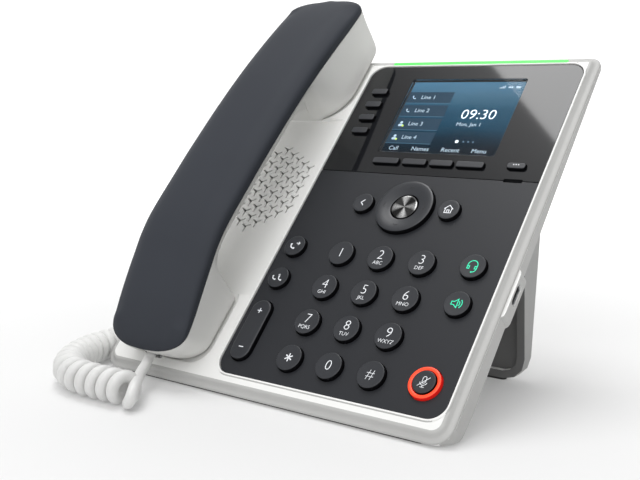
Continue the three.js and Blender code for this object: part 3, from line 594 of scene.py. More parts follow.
# Outer edge of the front housing, from the seam inwards: (w, growth).
FRONT_EDGE = [
    (SEAM, 0), (-2.6, 0), (-2.25, -0.2), (-2.05, -0.6), (-1.85, -1.3), (-1.65, -2.0),
    (-1.2, -2.45), (-0.6, -2.85), (-0.25, -3.25), (-0.06, -3.7), (0, -4.3),
]
POCKET_GAP = 0.6
SPEAKER_PAD = (-112, -62, -102, -8)
HOOK = (HANDSET_U - 5, HANDSET_U + 5, 3, 9)
# Cradle pockets flare out at the deck: (w, growth).
POCKET_EDGE = [(CRADLE_FLOOR, 0.0), (-0.9, 0.0), (-0.45, 0.12), (-0.12, 0.42), (0.02, 0.85), (1.5, 2.6)]


def cradle_rect(foot):
    return (HANDSET_U - foot["half"], HANDSET_U + foot["half"], foot["bottom"], foot["top"])


def grille_cutter():
    """The Y-shaped slots of the speaker grille, in rows that fill a hexagon."""
    half = GRILLE["width"] / 2
    slots = []
    for column in range(-GRILLE["rings"], GRILLE["rings"] + 1):
        count = 2 * GRILLE["rings"] + 1 - abs(column)
        for row in range(count):
            u = HANDSET_U + column * GRILLE["pitch"] * math.cos(math.pi / 6)
            v = GRILLE["v"] + (row - (count - 1) / 2) * GRILLE["pitch"]
            outline = []
            for degrees in (30, 150, 270):
                along, across = spoke(degrees)
                for turn in range(-3, 4):
                    b = math.radians(turn * 30)
                    tip = along * (GRILLE["arm"] - half + half * math.cos(b)) + across * half * math.sin(b)
                    outline.append((u + tip.x, v + tip.y))
                crotch = math.radians(degrees + 60)
                reach = half / math.sin(math.pi / 3)
                outline.append((u + reach * math.cos(crotch), v + reach * math.sin(crotch)))
            slots.append(loft("slot", prism(outline, -10, 10)))
    return joined("grille_cutter", slots)


def scoop_cutter():
    """The shallow trough between the two cups."""
    half, depth = SCOOP["half"], SCOOP["depth"]
    radius = (half * half + depth * depth) / (2 * depth)
    steps = 40
    rings = []
    for v in (SCOOP["bottom"], SCOOP["top"]):
        across = [-half + 2 * half * i / steps for i in range(steps + 1)]
        ring = [Vector((HANDSET_U + u, v, radius - depth - math.sqrt(radius ** 2 - u * u))) for u in across]
        ring += [Vector((HANDSET_U + half, v, 10)), Vector((HANDSET_U - half, v, 10))]
        rings.append(ring)
    return loft("scoop_cutter", rings)


def on_outer_edge(face):
    """Whether a face of the front housing is part of its outer edge, around the panel, which gets painted
    shade.
    """
    left = HOUSING[0] - FRONT_EDGE[-1][1]
    _, right, bottom, top = grown(PANEL, 0.5)
    u, v, _ = face.center / MM
    return not (left < u < right and bottom < v < top)


def make_front_housing():
    shell = rounded("front_shell", HOUSING, HOUSING_RADII, FRONT_EDGE)
    rim = rounded("panel_rim", PANEL, PANEL_RADIUS, edge_levels(-1.5, 0.32, 0.55, 1.5))
    cut(shell, rim, "UNION")
    cut(shell, block("speaker_pad", SPEAKER_PAD, 4, -5, -1), "UNION")
    cut(shell, block("panel_seat", PANEL, PANEL_RADIUS, -2.5, 10, GAP, 14))
    cut(shell, block("panel_hole", PANEL, PANEL_RADIUS, *THROUGH, -2.2, 14))
    cut(shell, block("light_slot", LIGHT_BAR, 0.5, -2, 10, GAP))
    ear_radii = (EAR["radius"], 2, 2, EAR["radius"])
    mouth_radii = (MOUTH["lower"], MOUTH["upper"], MOUTH["upper"], MOUTH["lower"])
    for name, foot, radii in (("ear_pocket", EAR, ear_radii), ("mouth_pocket", MOUTH, mouth_radii)):
        levels = [(w, POCKET_GAP + grow) for w, grow in POCKET_EDGE]
        cut(shell, rounded(name, cradle_rect(foot), radii, levels))
    cut(shell, scoop_cutter())
    cut(shell, block("hook_hole", HOOK, 1.5, *THROUGH, GAP))
    cut(shell, grille_cutter())
    dress(shell, WHITE, "phone", "white_case", "front_housing")
    # painted shade on the housing's outer edge and sides
    two_tone(shell, WHITE_PAINTED_SHADE, on_outer_edge)


# ---- panels, keys

WINDOW_MARGIN = 0.7
MODULE_MARGIN = 3.4
NOTCH = (38.6, 47.2)  # its ends along the line between the panel's halves
PANEL_EDGE = edge_levels(-2.2, -0.2, 0.25, steps=3)
KEY_CLEAR = 0.35
DIAL_NAMES = ["1", "2", "3", "4", "5", "6", "7", "8", "9", "star", "0", "hash"]
DIAL = {"u": -0.6, "top": -80.5, "pitch_u": 20, "pitch_v": 17.46, "radius": 5.9}
NAV = {"u": -0.8, "v": -53.4, "outer": 13.5, "inner": 6.5, "select": 6.1, "arrows": 10.4}
ROUND_KEYS = {
    "back_key": (-22.3, -53.2, 4.9), "home_key": (20.9, -53.2, 4.9),
    "transfer_key": (-46.4, -79.6, 5.2), "conference_key": (-46.4, -96.8, 5.2),
    "headset_key": (42.3, -79.2, 5.5), "speaker_key": (42.3, -96.8, 5.5), "mute_key": (42.5, -131.4, 4.8),
}
MUTE_RING = (5.1, 6.75)
VOLUME = (-51.8, -41.6, -138.2, -108.8)
VOLUME_SIGNS = {"plus": -114.3, "minus": -132.4, "half": 1.2}
LINE_KEYS = [(-48.9, -40.3, 13.5 - 8.2 * i - 1.7, 13.5 - 8.2 * i + 1.7) for i in range(4)]
SOFT_KEYS = [(a, b, -30, -26.8) for a, b in ((-28.9, -15.2), (-13.1, -0.9), (0.9, 12.3), (14.1, 27.4))]
MORE_KEY = (38, 46.4, -29.3, -26.3)
BAR_KEYS = {
    **{f"line_key_{i}": (rect, 1, 1.4) for i, rect in enumerate(LINE_KEYS, 1)},
    **{f"soft_key_{i}": (rect, 1, 1.2) for i, rect in enumerate(SOFT_KEYS, 1)},
    "more_key": (MORE_KEY, 1.3, 1.2),
}
KEY_TOP = 1.8
DISH = 0.12


def dial_place(i):
    return (DIAL["u"] + (i % 3 - 1) * DIAL["pitch_u"], DIAL["top"] - i // 3 * DIAL["pitch_v"])


def make_panels():
    left, right, bottom, top = PANEL
    upper = (left, right, PANEL_SPLIT + GAP / 2, top)
    bezel = rounded("bezel", upper, (0.3, PANEL_RADIUS, PANEL_RADIUS, 0.3), PANEL_EDGE)
    cut(bezel, block("window_hole", grown(SCREEN, WINDOW_MARGIN), 0.8, *THROUGH, GAP))
    cut(bezel, block("module_hole", grown(SCREEN, MODULE_MARGIN), 0.5, -10, -1.4, GAP))
    holes = [block("hole", rect, radius, *THROUGH, KEY_CLEAR) for rect, radius, _ in BAR_KEYS.values()]
    cut(bezel, joined("key_holes", holes))
    cut(bezel, block("notch", (*NOTCH, PANEL_SPLIT - 0.5, PANEL_SPLIT + 0.9), 0.5, -1.2, 10))
    dress(bezel, GLOSS, "phone", "gloss_black", "display_bezel")

    lower = (left, right, bottom, PANEL_SPLIT - GAP / 2)
    pad = rounded("keypad", lower, (PANEL_RADIUS, 0.3, 0.3, PANEL_RADIUS), PANEL_EDGE)
    holes = [disc("hole", *dial_place(i), DIAL["radius"] + KEY_CLEAR, *THROUGH) for i in range(12)]
    for name, (u, v, radius) in ROUND_KEYS.items():
        reach = MUTE_RING[1] + GAP if name == "mute_key" else radius + KEY_CLEAR
        holes.append(disc("hole", u, v, reach, *THROUGH))
    holes.append(disc("hole", NAV["u"], NAV["v"], NAV["outer"] + KEY_CLEAR, *THROUGH, 96))
    holes.append(block("hole", VOLUME, 5, *THROUGH, 0.5))
    cut(pad, joined("key_holes", holes))
    cut(pad, block("notch", (*NOTCH, PANEL_SPLIT - 1.0, PANEL_SPLIT + 0.5), 0.5, -1.2, 10))
    dress(pad, CHARCOAL, "phone", "charcoal_panel", "keypad_panel")


def cap_levels(top, edge):
    """Levels of a key cap: a hidden flange, then a straight side and a rounded edge."""
    return [(-3.1, 0.75), (-2.5, 0.75)] + edge_levels(-2.5, top, edge)


def dished(rings, middle, depth):
    """Adds inner rings that dip towards the middle, for a slightly hollow key top."""
    last = rings[-1]
    for share in (0.8, 0.55, 0.25):
        ring = []
        for p in last:
            at = middle + (p - middle) * share
            ring.append(Vector((at.x, at.y, p.z - depth * (1 - share * share))))
        rings.append(ring)
    return rings


def round_cap(name, u, v, radius):
    rings = [circle_ring(u, v, radius + grow, w) for w, grow in cap_levels(KEY_TOP, 0.35)]
    return loft(name + "_cap", dished(rings, Vector((u, v, 0)), DISH))


def dress_key(piece, name):
    """A key's cap, with painted shade that makes its sides darker than its top."""
    dress(piece, KEY, name, "key_cap", name)
    two_tone(piece, KEY_PAINTED_SHADE, lambda face: face.normal.z < 0.5)


def make_caps():
    for i, dial in enumerate(DIAL_NAMES):
        name = f"key_{dial}"
        dress_key(round_cap(name, *dial_place(i), DIAL["radius"]), name)
    for name, (u, v, radius) in ROUND_KEYS.items():
        dress_key(round_cap(name, u, v, radius), name)
    for name, (rect, radius, top) in BAR_KEYS.items():
        dress_key(rounded(name + "_cap", rect, radius, cap_levels(top, 0.4), 6), name)

    levels = [(-3.1, 0.6), (-2.9, 0.6)] + edge_levels(-2.9, 1.7, 0.8)
    dress_key(rounded("rocker_cap", VOLUME, 5, levels, 12), "volume_rocker")


def make_nav():
    u, v, outer, inner = NAV["u"], NAV["v"], NAV["outer"], NAV["inner"]
    profile = [
        (outer + 0.7, -3.3), (outer + 0.7, -2.9), (outer, -2.9), (outer, 1.55), (outer - 0.1, 1.8),
        (outer - 0.35, 1.95), (outer - 0.9, 2.05), (outer - 2.4, 2.02), (outer - 4.2, 1.7),
        (inner + 1.3, 1.38), (inner + 0.5, 1.3), (inner + 0.12, 1.1), (inner, 0.8), (inner, -3.3),
    ]
    dress_key(turned("nav_ring_cap", u, v, profile, 96), "nav_ring")

    radius = NAV["select"]
    rings = [circle_ring(0, 0, r, w, 64) for r, w in (
        (radius, -3.6), (radius, 0.9), (radius - 0.12, 1.25), (radius - 0.4, 1.45), (radius - 0.9, 1.5),
        (radius * 0.5, 1.42), (0.6, 1.36),
    )]
    select = loft("select_cap", rings, FACE @ Matrix.Translation((u * MM, v * MM, 0)))
    dress(select, METAL, "select_key", "metal_key", "select_key")


def make_mute_ring():
    u, v, _ = ROUND_KEYS["mute_key"]
    inner, outer = MUTE_RING
    profile = [
        (outer, -2.2), (outer, 0.8), (outer - 0.2, 1.15), (outer - 0.6, 1.3),
        (inner + 0.5, 1.3), (inner + 0.1, 1.1), (inner, 0.8), (inner, -2.2),
    ]
    ring = turned("mute_glow", u, v, profile, 64)
    dress(ring, RED, "phone", "red_light", "mute_ring")
    # painted shade on the ring's sides
    two_tone(ring, RED_PAINTED_SHADE, lambda face: face.normal.z < 0.6)


# ---- printed legends, screen contents

def stroke(points, width, low, high):
    """A ribbon of even width along a line of (u, v) points, as a thin solid."""
    line = [Vector(p) for p in points]
    sides = ([], [])
    for i, at in enumerate(line):
        before = (at - line[i - 1]).normalized() if i else None
        after = (line[i + 1] - at).normalized() if i + 1 < len(line) else None
        ahead = after or before
        way = ((before or after) + ahead).normalized()
        normal = Vector((-way.y, way.x))
        reach = width / 2 / max(abs(normal.dot(Vector((-ahead.y, ahead.x)))), 0.4)
        sides[0].append(at + normal * reach)
        sides[1].append(at - normal * reach)
    outline = [tuple(p) for p in sides[1] + sides[0][::-1]]
    return loft("stroke", prism(outline, low, high))


def arc(u, v, radius, start, end, steps=14):
    angles = [math.radians(start + (end - start) * i / steps) for i in range(steps + 1)]
    return [(u + radius * math.cos(a), v + radius * math.sin(a)) for a in angles]


def spot(u, v, radius, low, high):
    return disc("spot", u, v, radius, low, high, 20)


def plate(rect, radius, low, high):
    return block("plate", rect, radius, low, high, 0.0, 5)


def words(text, u, v, size, low, high, align="CENTER", thin=0.0):
    """Raised lettering, size high, centred on or starting at u, v."""
    curve = bpy.data.curves.new("words", "FONT")
    curve.body = text
    curve.size = size * 1.4 * MM
    curve.align_x = align
    curve.align_y = "CENTER"
    curve.extrude = (high - low) / 2 * MM
    curve.offset = -thin * MM
    curve.resolution_u = 3
    shown = put("words", curve)
    bpy.context.view_layer.update()
    mesh = bpy.data.meshes.new_from_object(shown.evaluated_get(bpy.context.evaluated_depsgraph_get()))
    bpy.data.objects.remove(shown)
    mesh.transform(Matrix.Translation((u * MM, v * MM, (low + high) / 2 * MM)))
    return put("words", mesh)


LETTER_SIZE = {"digit": 4.6, "letters": 1.75}
DIAL_TEXT = {
    "1": "1", "2": "2 ABC", "3": "3 DEF", "4": "4 GHI", "5": "5 JKL", "6": "6 MNO",
    "7": "7 PQRS", "8": "8 TUV", "9": "9 WXYZ", "star": "*", "0": "0", "hash": "#",
}
PRINT = (KEY_TOP - DISH - 0.06, KEY_TOP - 0.04)


def dial_legend(name, u, v):
    """The digit and the letters of a dial key."""
    digit, *letters = DIAL_TEXT[name].split()
    if name == "star":
        return [stroke([(u, v), end], 0.5, *PRINT) for end in arc(u, v, 1.9, 90, 450, 6)[:6]]
    made = [words(digit, u, v + (1.2 if letters else 0), LETTER_SIZE["digit"], *PRINT, thin=0.12)]
    if letters:
        made.append(words(letters[0], u, v - 2.7, LETTER_SIZE["letters"], *PRINT, thin=0.02))
    return made


def handset_glyph(u, v, size, low, high):
    """A small telephone receiver, drawn slanting."""
    bow = arc(u + 0.35 * size, v + 0.35 * size, size, 170, 280, 10)
    return [
        stroke(bow, 0.34 * size, low, high),
        spot(*bow[0], 0.3 * size, low, high),
        spot(*bow[-1], 0.3 * size, low, high),
    ]


def icon(name, u, v):
    """The sign on a round key."""
    low, high = PRINT

    def drawn(*lines, width=0.34):
        return [stroke([(u + x, v + y) for x, y in line], width, low, high) for line in lines]

    if name == "back_key":
        return drawn([(0.7, 1.5), (-0.8, 0), (0.7, -1.5)], width=0.42)
    if name == "home_key":
        return drawn(
            [(-2.1, 0.2), (0, 2.1), (2.1, 0.2)],
            [(-1.5, 0.6), (-1.5, -1.8), (1.5, -1.8), (1.5, 0.6)],
            [(-0.5, -1.8), (-0.5, -0.3), (0.5, -0.3), (0.5, -1.8)],
        )
    if name == "transfer_key":
        return handset_glyph(u - 0.9, v - 0.4, 1.7, low, high) + drawn(
            [(0.5, 1.3), (2.2, 1.3)], [(1.5, 2.1), (2.3, 1.3), (1.5, 0.5)]
        )
    if name == "conference_key":
        left = handset_glyph(u - 1.9, v - 0.4, 1.35, low, high)
        right = handset_glyph(u + 1.3, v - 0.4, 1.35, low, high)
        return left + right + drawn([(-0.35, 1.2), (0.75, 1.2)], [(0.2, 0.65), (0.2, 1.75)], width=0.26)
    if name == "headset_key":
        band = arc(0, 0.4, 2.1, 0, 180)
        cups = [[(s * 2.1, 0.4), (s * 2.1, -1.3), (s * 1.2, -1.3), (s * 1.2, -0.1), (s * 2.1, -0.1)]
                for s in (-1, 1)]
        boom = arc(0.4, -1.2, 1.7, 275, 355, 6)
        return drawn(band, *cups, boom) + [spot(u + 0.35, v - 2.9, 0.36, low, high)]
    if name == "speaker_key":
        cone = [(-1.2, -0.7), (-2.3, -0.7), (-2.3, 0.7), (-1.2, 0.7), (0.3, 1.9), (0.3, -1.9), (-1.2, -0.7)]
        return drawn(cone, arc(-0.1, 0, 1.4, -48, 48, 8), arc(-0.1, 0, 2.4, -48, 48, 8))
    capsule = arc(0, 1.4, 0.75, 0, 180, 8) + arc(0, 0.1, 0.75, 180, 360, 8) + [(0.75, 1.4)]
    return drawn(
        capsule, arc(0, 0.1, 1.6, 195, 345, 8), [(0, -1.5), (0, -2.3)], [(-0.9, -2.3), (0.9, -2.3)],
        [(-2.1, -2.0), (2.1, 2.1)], width=0.24,
    )


def print_on(body, name, parts, finish):
    """Joins the parts into one print on a key."""
    dress(joined(name, parts), finish, body, "key_cap")


def make_legends():
    for i, dial in enumerate(DIAL_NAMES):
        print_on(f"key_{dial}", f"legend_{dial}", dial_legend(dial, *dial_place(i)), LEGEND_PAINTED_GLOW)
    for name, (u, v, _) in ROUND_KEYS.items():
        finish = LEGEND_GREEN if name in ("headset_key", "speaker_key") else LEGEND_PAINTED_GLOW
        print_on(name, f"icon_{name}", icon(name, u, v), finish)
    middle = (VOLUME[0] + VOLUME[1]) / 2
    plus, minus, half = VOLUME_SIGNS.values()
    lines = [
        [(middle - half, plus), (middle + half, plus)], [(middle, plus - half), (middle, plus + half)],
        [(middle - half, minus), (middle + half, minus)],
    ]
    signs = [stroke(line, 0.4, 1.62, 1.76) for line in lines]
    print_on("volume_rocker", "volume_signs", signs, LEGEND_PAINTED_GLOW)
    dots = [spot(u, (MORE_KEY[2] + MORE_KEY[3]) / 2 + 0.3, 0.28, 1.1, 1.26) for u in (41.1, 42.2, 43.3)]
    print_on("more_key", "more_dots", dots, LEGEND_PAINTED_GLOW)
    # The engraved carets, as dark strokes of painted shade.
    carets = []
    for degrees in (0, 90, 180, 270):
        along, across = spoke(degrees)
        hub = Vector((NAV["u"], NAV["v"])) + along * NAV["arrows"]
        carets.append(stroke(
            [tuple(hub + across * s - along * abs(s) * 0.7) for s in (-1, 0, 1)], 0.32, 1.7, 1.9,
        ))
    print_on("nav_ring", "nav_arrows", carets, CARET_PAINTED_SHADE)


ROW_SPANS = [(8.5, 15.2), (0.2, 7.0), (-8.0, -1.1), (-16.1, -9.3)]
UI = (-1.60, -1.53)  # behind the window and in front of the screen
UI_HIGH = (-1.52, -1.47)


def show(name, parts, finish):
    """Joins the parts into one layer of the lit screen."""
    dress(joined(name, parts), finish, "phone", "screen")


def make_screen():
    dress(block("screen_picture", SCREEN, 0.1, -1.72, -1.62, 0.0, 1), PICTURE, "phone", "screen")
    rows = [plate((-28.8, -4.8, low, high), 0.05, *UI) for low, high in ROW_SPANS]
    show("screen_rows", rows, UI_ROW)
    edges = [plate((-28.8, -4.8, low - 0.35, low), 0.02, *UI) for low, _ in ROW_SPANS]
    show("screen_row_edges", edges, UI_EDGE)
    names = []
    for number, (low, high) in enumerate(ROW_SPANS, 1):
        names.append(words(f"Line {number}", -21.5, (low + high) / 2, 2.3, *UI_HIGH, "LEFT"))
    show("screen_names", names, UI_GREY)
    glyphs = []
    for low, high in ROW_SPANS[:2]:
        glyphs += handset_glyph(-25.2, (low + high) / 2, 1.2, *UI_HIGH)
    for low, high in ROW_SPANS[2:]:
        middle = (low + high) / 2
        glyphs.append(spot(-25.4, middle + 0.7, 0.75, *UI_HIGH))
        glyphs.append(plate((-26.6, -24.2, middle - 1.6, middle - 0.2), 0.6, *UI_HIGH))
    show("screen_glyphs", glyphs, UI_GREY)
    lime = [spot(-24.0, sum(span) / 2 - 1.3, 0.55, UI_HIGH[1], UI_HIGH[1] + 0.03) for span in ROW_SPANS[2:]]
    show("screen_states", lime, UI_LIME)

    bright = [words("09:30", 12.6, 1.6, 5.7, *UI, thin=0.09), spot(7.9, -14.2, 0.85, *UI)]
    show("screen_clock", bright, UI_WHITE)
    soft = [words("Mon, Jan 1", 3.6, -4.2, 2.1, *UI, "LEFT")]
    labels = (("Call", -23.0), ("Names", -8.8), ("Recent", 6.6), ("Menu", 20.8))
    soft += [words(text, u, -19.3, 2.35, *UI) for text, u in labels]
    for i in range(4):
        soft.append(plate((17.0 + i * 0.75, 17.45 + i * 0.75, 17.6, 18.1 + 0.4 * i), 0.02, *UI))
    soft.append(plate((25.0, 27.2, 17.7, 18.9), 0.2, *UI))
    soft.append(plate((21.2, 23.6, 17.9, 18.7), 0.3, *UI))
    show("screen_labels", soft, UI_GREY)
    dim = [spot(u, -14.2, 0.45, *UI) for u in (11.2, 13.6, 16.0)]
    show("screen_dots", dim, UI_DIM)


# ---- handset

FOOT_LOW = -1.2
GRIP_BELLY = 17
HANDSET = {"top": 57.4, "bottom": -149.2, "half": 22.1}
CROWN_POINTS = [
    (-149.2, 16.2), (-148, 17.4), (-145, 19.2), (-141, 21.4), (-136, 23.9), (-130, 26.6), (-120, 30),
    (-110, 32.8), (-100, 35.4), (-90, 36.7), (-80, 36.9), (-60, 36.9), (-40, 36.5), (-20, 35.7),
    (0, 34.2), (20, 31.8), (36, 29.2), (46, 26.8), (52, 24.8), (56, 22.7), (57.4, 21),
]
PARTING_POINTS = [
    (-149.2, 15.4), (-137, 17), (-130, 18.6), (-120, 21.5), (-110, 24.3), (-100, 26.9), (-90, 28.2),
    (-80, 28.4), (-60, 28.4), (-40, 28), (-20, 27.2), (0, 25.7), (20, 23.5), (40, 21), (57.4, 19.6),
]
UNDERSIDE_POINTS = [
    (-149.2, FOOT_LOW), (-108, FOOT_LOW), (-107, 4), (-105, 9.5), (-102, 13.2), (-97, 15.8),
    (-88, GRIP_BELLY), (-24, GRIP_BELLY), (-16, 15.6), (-10, 12.4), (-6.5, 8), (-4.6, 3),
    (-3.8, FOOT_LOW), (57.4, FOOT_LOW),
]
HANDSET_WALL = 2.2
PLUG_ROOM = (-160, -134.6)
SOCKET_WALL = 1.6
SOUND_RINGS = ((0, 1), (3.2, 6), (6.4, 12))  # radius of each ring of holes over the receiver, and how many
END_LENGTH = 11
END_POWER = {"top": 2.3, "bottom": 2.4}


def curve_through(points):
    """A smooth height over v through the points, without overshoot."""
    def slope(a, b):
        return (b[1] - a[1]) / (b[0] - a[0])

    def soft(a, b):
        return 2 * a * b / (a + b) if a * b > 0 else 0.0

    def height(v):
        last = len(points) - 2
        i = max((k for k, (at, _) in enumerate(points) if at <= v), default=0)
        i = min(i, last)
        (v0, w0), (v1, w1) = points[i], points[i + 1]
        here = slope(points[i], points[i + 1])
        m0 = soft(slope(points[i - 1], points[i]) if i else here, here)
        m1 = soft(here, slope(points[i + 1], points[i + 2]) if i < last else here)
        t = min(max((v - v0) / (v1 - v0), 0.0), 1.0)
        return hermite(w0, w1, (v1 - v0) * m0, (v1 - v0) * m1, t)

    return height


crown_at = curve_through(CROWN_POINTS)
parting_at = curve_through(PARTING_POINTS)
underside_at = curve_through(UNDERSIDE_POINTS)


def half_width(v, inset):
    top = v > 0
    left = (HANDSET["top"] - v if top else v - HANDSET["bottom"]) - inset
    into = min(max(1 - left / END_LENGTH, 0), 1)
    power = END_POWER["top" if top else "bottom"]
    return (HANDSET["half"] - inset) * (1 - into ** power) ** (1 / power)


def foot_half(v, half):
    """Half-width of a cup's foot at v, down at the cradle."""
    ear = v > (EAR["bottom"] + MOUTH["top"]) / 2
    foot = EAR if ear else MOUTH
    radius = EAR["radius"] if ear else MOUTH["upper"]
    into = foot["bottom"] + radius - v if ear else v - foot["top"] + radius
    reach = foot["half"] - radius + math.sqrt(max(radius ** 2 - max(into, 0) ** 2, 0))
    return min(reach, foot["half"] * half / HANDSET["half"])


def leaned(v, w):
    """The end walls lean in towards the cradle."""
    up = smoothstep(v, 15, 45) * 0.45
    down = smoothstep(-v, 115, 140) * 0.4
    return v - max(20 - w, 0) * up + max(14 - w, 0) * down


def handset_ring(v, inset):
    half = half_width(v, inset)
    crown = crown_at(v) - inset
    parting = parting_at(v)
    lift = max(underside_at(v + side * inset) for side in (-1, 0, 1))
    under = min(lift + inset, parting - 1.5)
    cup = min(max((GRIP_BELLY - underside_at(v)) / GRIP_BELLY, 0), 1)
    foot = max(foot_half(v, half) - inset, 1)
    shoulder = min(9, half * 0.7)

    def blend(grip, at_foot):
        return grip + (at_foot - grip) * cup

    profile = [
        (0, crown),
        (half - shoulder, crown - 0.5),
        (half - shoulder * 0.4, crown - 2.2 * (1 if crown - parting > 6 else 0.4)),
        (half, (crown + parting) / 2 - 0.5),
        (half, parting),
        (blend(half - 1.2, (half * 2 + foot) / 3), blend(parting - 2, (parting * 2 + under) / 3)),
        (blend(half - 3.5, foot), blend(max(parting - 4.4, under + 0.3), under + 3)),
        (blend(half - 11, foot * 0.88), under),
    ]
    around = [(HANDSET_U - u, w) for u, w in profile[:0:-1]] + [(HANDSET_U + u, w) for u, w in profile]
    return [Vector((u, leaned(v, w), w)) for u, w in catmull(around, 4, closed=True)]


def handset_stations(inset):
    steps = 9
    eased = [0.05 + END_LENGTH * (1 - math.cos(math.pi / 2 * i / steps)) for i in range(steps)]
    low = [HANDSET["bottom"] + inset + e for e in eased]
    high = [HANDSET["top"] - inset - e for e in eased]
    middle = []
    v = low[-1] + 1.6
    while v < high[-1] - 1.2:
        middle.append(v)
        near_cup = -109.5 < v < -96 or -19 < v < -2.5
        v += 0.7 if near_cup else 2.6
    return [*low, *middle, *reversed(high)]


def handset_body(name, inset):
    return loft(name, [handset_ring(v, inset) for v in handset_stations(inset)])


def above_parting(offset):
    """Everything in front of the parting line, moved by an offset in w."""
    line = []
    v = HANDSET["bottom"] - 20
    while v < HANDSET["top"] + 20:
        line.append((leaned(v, parting_at(v)), parting_at(v) + offset))
        v += 2.5
    outline = line + [(line[-1][0], 60), (line[0][0], 60)]
    return loft("above_parting", [[Vector((u, v, w)) for v, w in outline]
                                  for u in (HANDSET_U - 60, HANDSET_U + 60)])


def handset_half(name, offset, how):
    """One hollow half of the handset, on one side of its parting line."""
    half = handset_body(name, 0)
    cut(half, above_parting(offset), how)
    cut(half, handset_body("inner", HANDSET_WALL))
    return half


def make_handset():
    top = handset_half("handset_back", GAP / 2, "INTERSECT")
    dress(settle(top), SLATE, "handset", "slate_handset", "handset_top_shell")

    bottom = handset_half("handset_front", -GAP / 2, "DIFFERENCE")
    rect = (PLUG["u"] - PLUG["half_u"], PLUG["u"] + PLUG["half_u"], *PLUG_ROOM)
    room = (rect, 0.4, PLUG["w"] - PLUG["half_w"], PLUG["w"] + PLUG["half_w"])
    socket = block("socket", *room, SOCKET_WALL)
    cut(socket, handset_body("limit", 0.4), "INTERSECT")
    cut(bottom, socket, "UNION")
    cut(bottom, block("plug_hole", *room, GAP))
    holes = []
    for reach, count in SOUND_RINGS:
        for k in range(count):
            a = 2 * math.pi * k / count
            at = (HANDSET_U + reach * math.cos(a), 20 + reach * math.sin(a))
            holes.append(disc("hole", *at, 0.9, -3, 1.3, 16))
    holes += [disc("hole", HANDSET_U + s * 2.2, -122, 0.8, -3, 1.6, 16) for s in (-1, 0, 1)]
    cut(bottom, joined("sound_holes", holes))
    dress(settle(bottom), GREY, "handset", "grey_case", "handset_bottom_shell")


# ---- CAD nodes that stay

# Material, and the width of the rounded edges in mm, of each node that is seen as it is.
KEPT = {
    "rear_housing": (WHITE, 0.6), "stand": (WHITE, 0.6), "hook_switch": (GREY, 0.3),
    "light_bar": (GREEN, 0.15),
    "display_window": (LENS, 0), "lcd_module": (BLACK, 0), "key_mat": (SILICONE, 0),
    "main_board": (BOARD, 0), "loudspeaker": (BLACK, 0), "usb_c_port": (PLATED, 0.1),
    "ethernet_jack": (PLATED, 0.15), "headset_jack": (BLACK, 0.15), "handset_cord_jack": (BLACK, 0.15),
    "stand_foot": (RUBBER, 0.2), "front_foot": (RUBBER, 0.2), "handset_receiver": (BLACK, 0.3),
    "handset_microphone": (PLATED, 0.3), "handset_plug": (PLUG_CLEAR, 0.2), "base_plug": (PLUG_CLEAR, 0.2),
    "nav_carrier": (SILICONE, 0),
}


def shade_sides():
    """Painted shade: darker materials on the hollow side of the stand, towards the housing, and on the side
    walls.
    """
    stand, rear = frame["nodes"]["stand"], frame["nodes"]["rear_housing"]
    two_tone(stand, STAND_INSIDE_PAINTED_SHADE, lambda face: face.normal.y < -0.3)
    two_tone(stand, STAND_SIDE_PAINTED_SHADE, lambda face: abs(face.normal.x) > 0.6)
    two_tone(rear, WHITE_PAINTED_SHADE, lambda face: abs(face.normal.x) > 0.6)


SHARP = math.radians(38)


def dress_kept():
    for name, (finish, edge) in KEPT.items():
        node = frame["nodes"][name]
        node.data.materials.clear()
        node.data.materials.append(finish)
        smooth(node.data, 32)
        if edge:
            bevel = node.modifiers.new("edges", "BEVEL")
            bevel.width = edge * MM
            bevel.segments = 3
            bevel.limit_method = "ANGLE"
            bevel.angle_limit = SHARP
            bevel.use_clamp_overlap = True
            bevel.harden_normals = True


# ---- floor and light

# Painted light: how strong the floor's own glow is near the phone and far off, and the metres between which
# it grows.
FLOOR_PAINTED_GLOW = {"near": 0.14, "far": 0.62, "from": 0.05, "to": 0.75}


def floor_white_painted_glow():
    """A pale floor with a painted glow that grows away from the phone until it is as light as the backdrop.
    """
    made = material("floor_white_painted_glow", (0.66, 0.66, 0.66), 0.9, 0.1, relief=0, vary=0.0)
    tree = made.node_tree
    point = add(tree, "TexCoord", {}, "Object")
    reach = add(tree, "VectorMath", {0: point}, "Value", operation="LENGTH")
    painted_glow_range = {
        "Value": reach, "From Min": FLOOR_PAINTED_GLOW["from"], "From Max": FLOOR_PAINTED_GLOW["to"],
        "To Min": FLOOR_PAINTED_GLOW["near"], "To Max": FLOOR_PAINTED_GLOW["far"],
    }
    feed(tree, tree.nodes["Principled BSDF"], {
        "Emission Color": (1, 1, 1, 1),
        "Emission Strength": add(tree, "MapRange", painted_glow_range, interpolation_type="SMOOTHSTEP"),
    })
    return made


def make_floor():
    made = bmesh.new()
    reach = 6  # metres
    corners = [(-1, -1), (1, -1), (1, 1), (-1, 1)]
    made.faces.new([made.verts.new((x * reach, y * reach, 0)) for x, y in corners])
    floor = finish_mesh("floor", made, ROW)
    floor.data.materials.append(floor_white_painted_glow())


SKY = 0.38
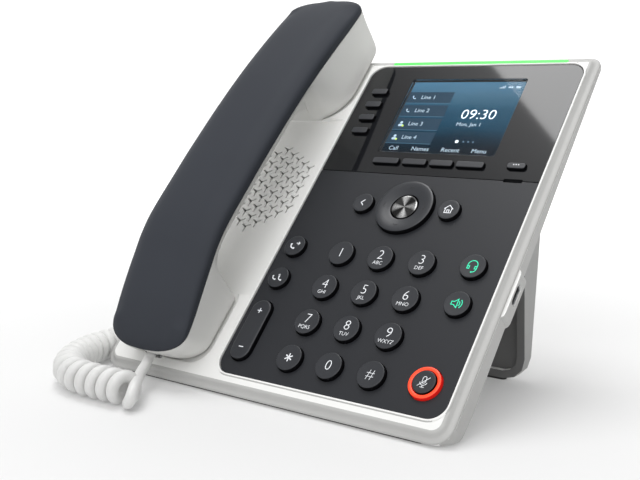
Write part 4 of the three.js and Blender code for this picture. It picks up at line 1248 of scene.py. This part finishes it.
# Brighter stretches of the sky: where they lie, the cosines between which they fade, and their strength.
GLOWS = [
    {"toward": (-0.605, 0.796, 0.0), "edges": (0.5, 0.85), "strength": 0.85},
    {"toward": (-0.238, 0.095, 0.967), "edges": (0.925, 0.985), "strength": 0.95},
    {"toward": (0.2, -0.8, 0.4), "edges": (0.1, 0.9), "strength": 0.3},
]
LAMPS = {
    "softbox": {
        "at": (-0.25, 0.146, 1.311), "edge": (0.684, -0.728, -0.04), "facing": (0.427, 0.068, -0.902),
        "size": (0.9, 0.6), "power": 7.5,
    },
    "fill": {
        "at": (0.5, -1.1, 1.3), "edge": (1, 0, 0), "facing": (-0.28, 0.62, -0.73),
        "size": (1.2, 1.2), "power": 10,
    },
}


def glow(tree, ray, toward, edges, strength):
    """Extra brightness of the sky about one direction."""
    dot = add(tree, "VectorMath", {0: ray, 1: Vector(toward).normalized()}, "Value", operation="DOT_PRODUCT")
    fade = {"Value": dot, "From Min": edges[0], "From Max": edges[1], "To Max": strength}
    return add(tree, "MapRange", fade, interpolation_type="SMOOTHSTEP")


def softbox(name, at, edge, facing, size, power):
    """A rectangle of light with one side along edge."""
    data = bpy.data.lights.new(name, "AREA")
    data.shape = "RECTANGLE"
    data.size, data.size_y = size
    data.energy = power
    along = Vector(edge).normalized()
    behind = -Vector(facing)
    behind = (behind - along * behind.dot(along)).normalized()
    turn = Matrix((along, behind.cross(along), behind)).transposed().to_4x4()
    put(name, data, Matrix.Translation(at) @ turn)


def make_light():
    """A dim sky with a white backdrop behind the phone, a softbox above it and a fill in front."""
    world = bpy.data.worlds.new("studio")
    bpy.context.scene.world = world
    world.use_nodes = True
    tree = world.node_tree
    ray = add(tree, "TexCoord", {}, "Generated")
    level = SKY
    for spread in GLOWS:
        level = add(tree, "Math", {0: glow(tree, ray, **spread), 1: level})
    feed(tree, tree.nodes["Background"], {"Color": (1, 1, 1, 1), "Strength": level})
    for name, lamp in LAMPS.items():
        softbox(name, **lamp)
    bpy.context.scene.view_settings.view_transform = "Standard"


make_camera()
make_cord(JACKET)
make_front_housing()
make_panels()
make_caps()
make_nav()
make_mute_ring()
make_legends()
make_screen()
make_handset()
dress_kept()
shade_sides()
make_floor()
make_light()
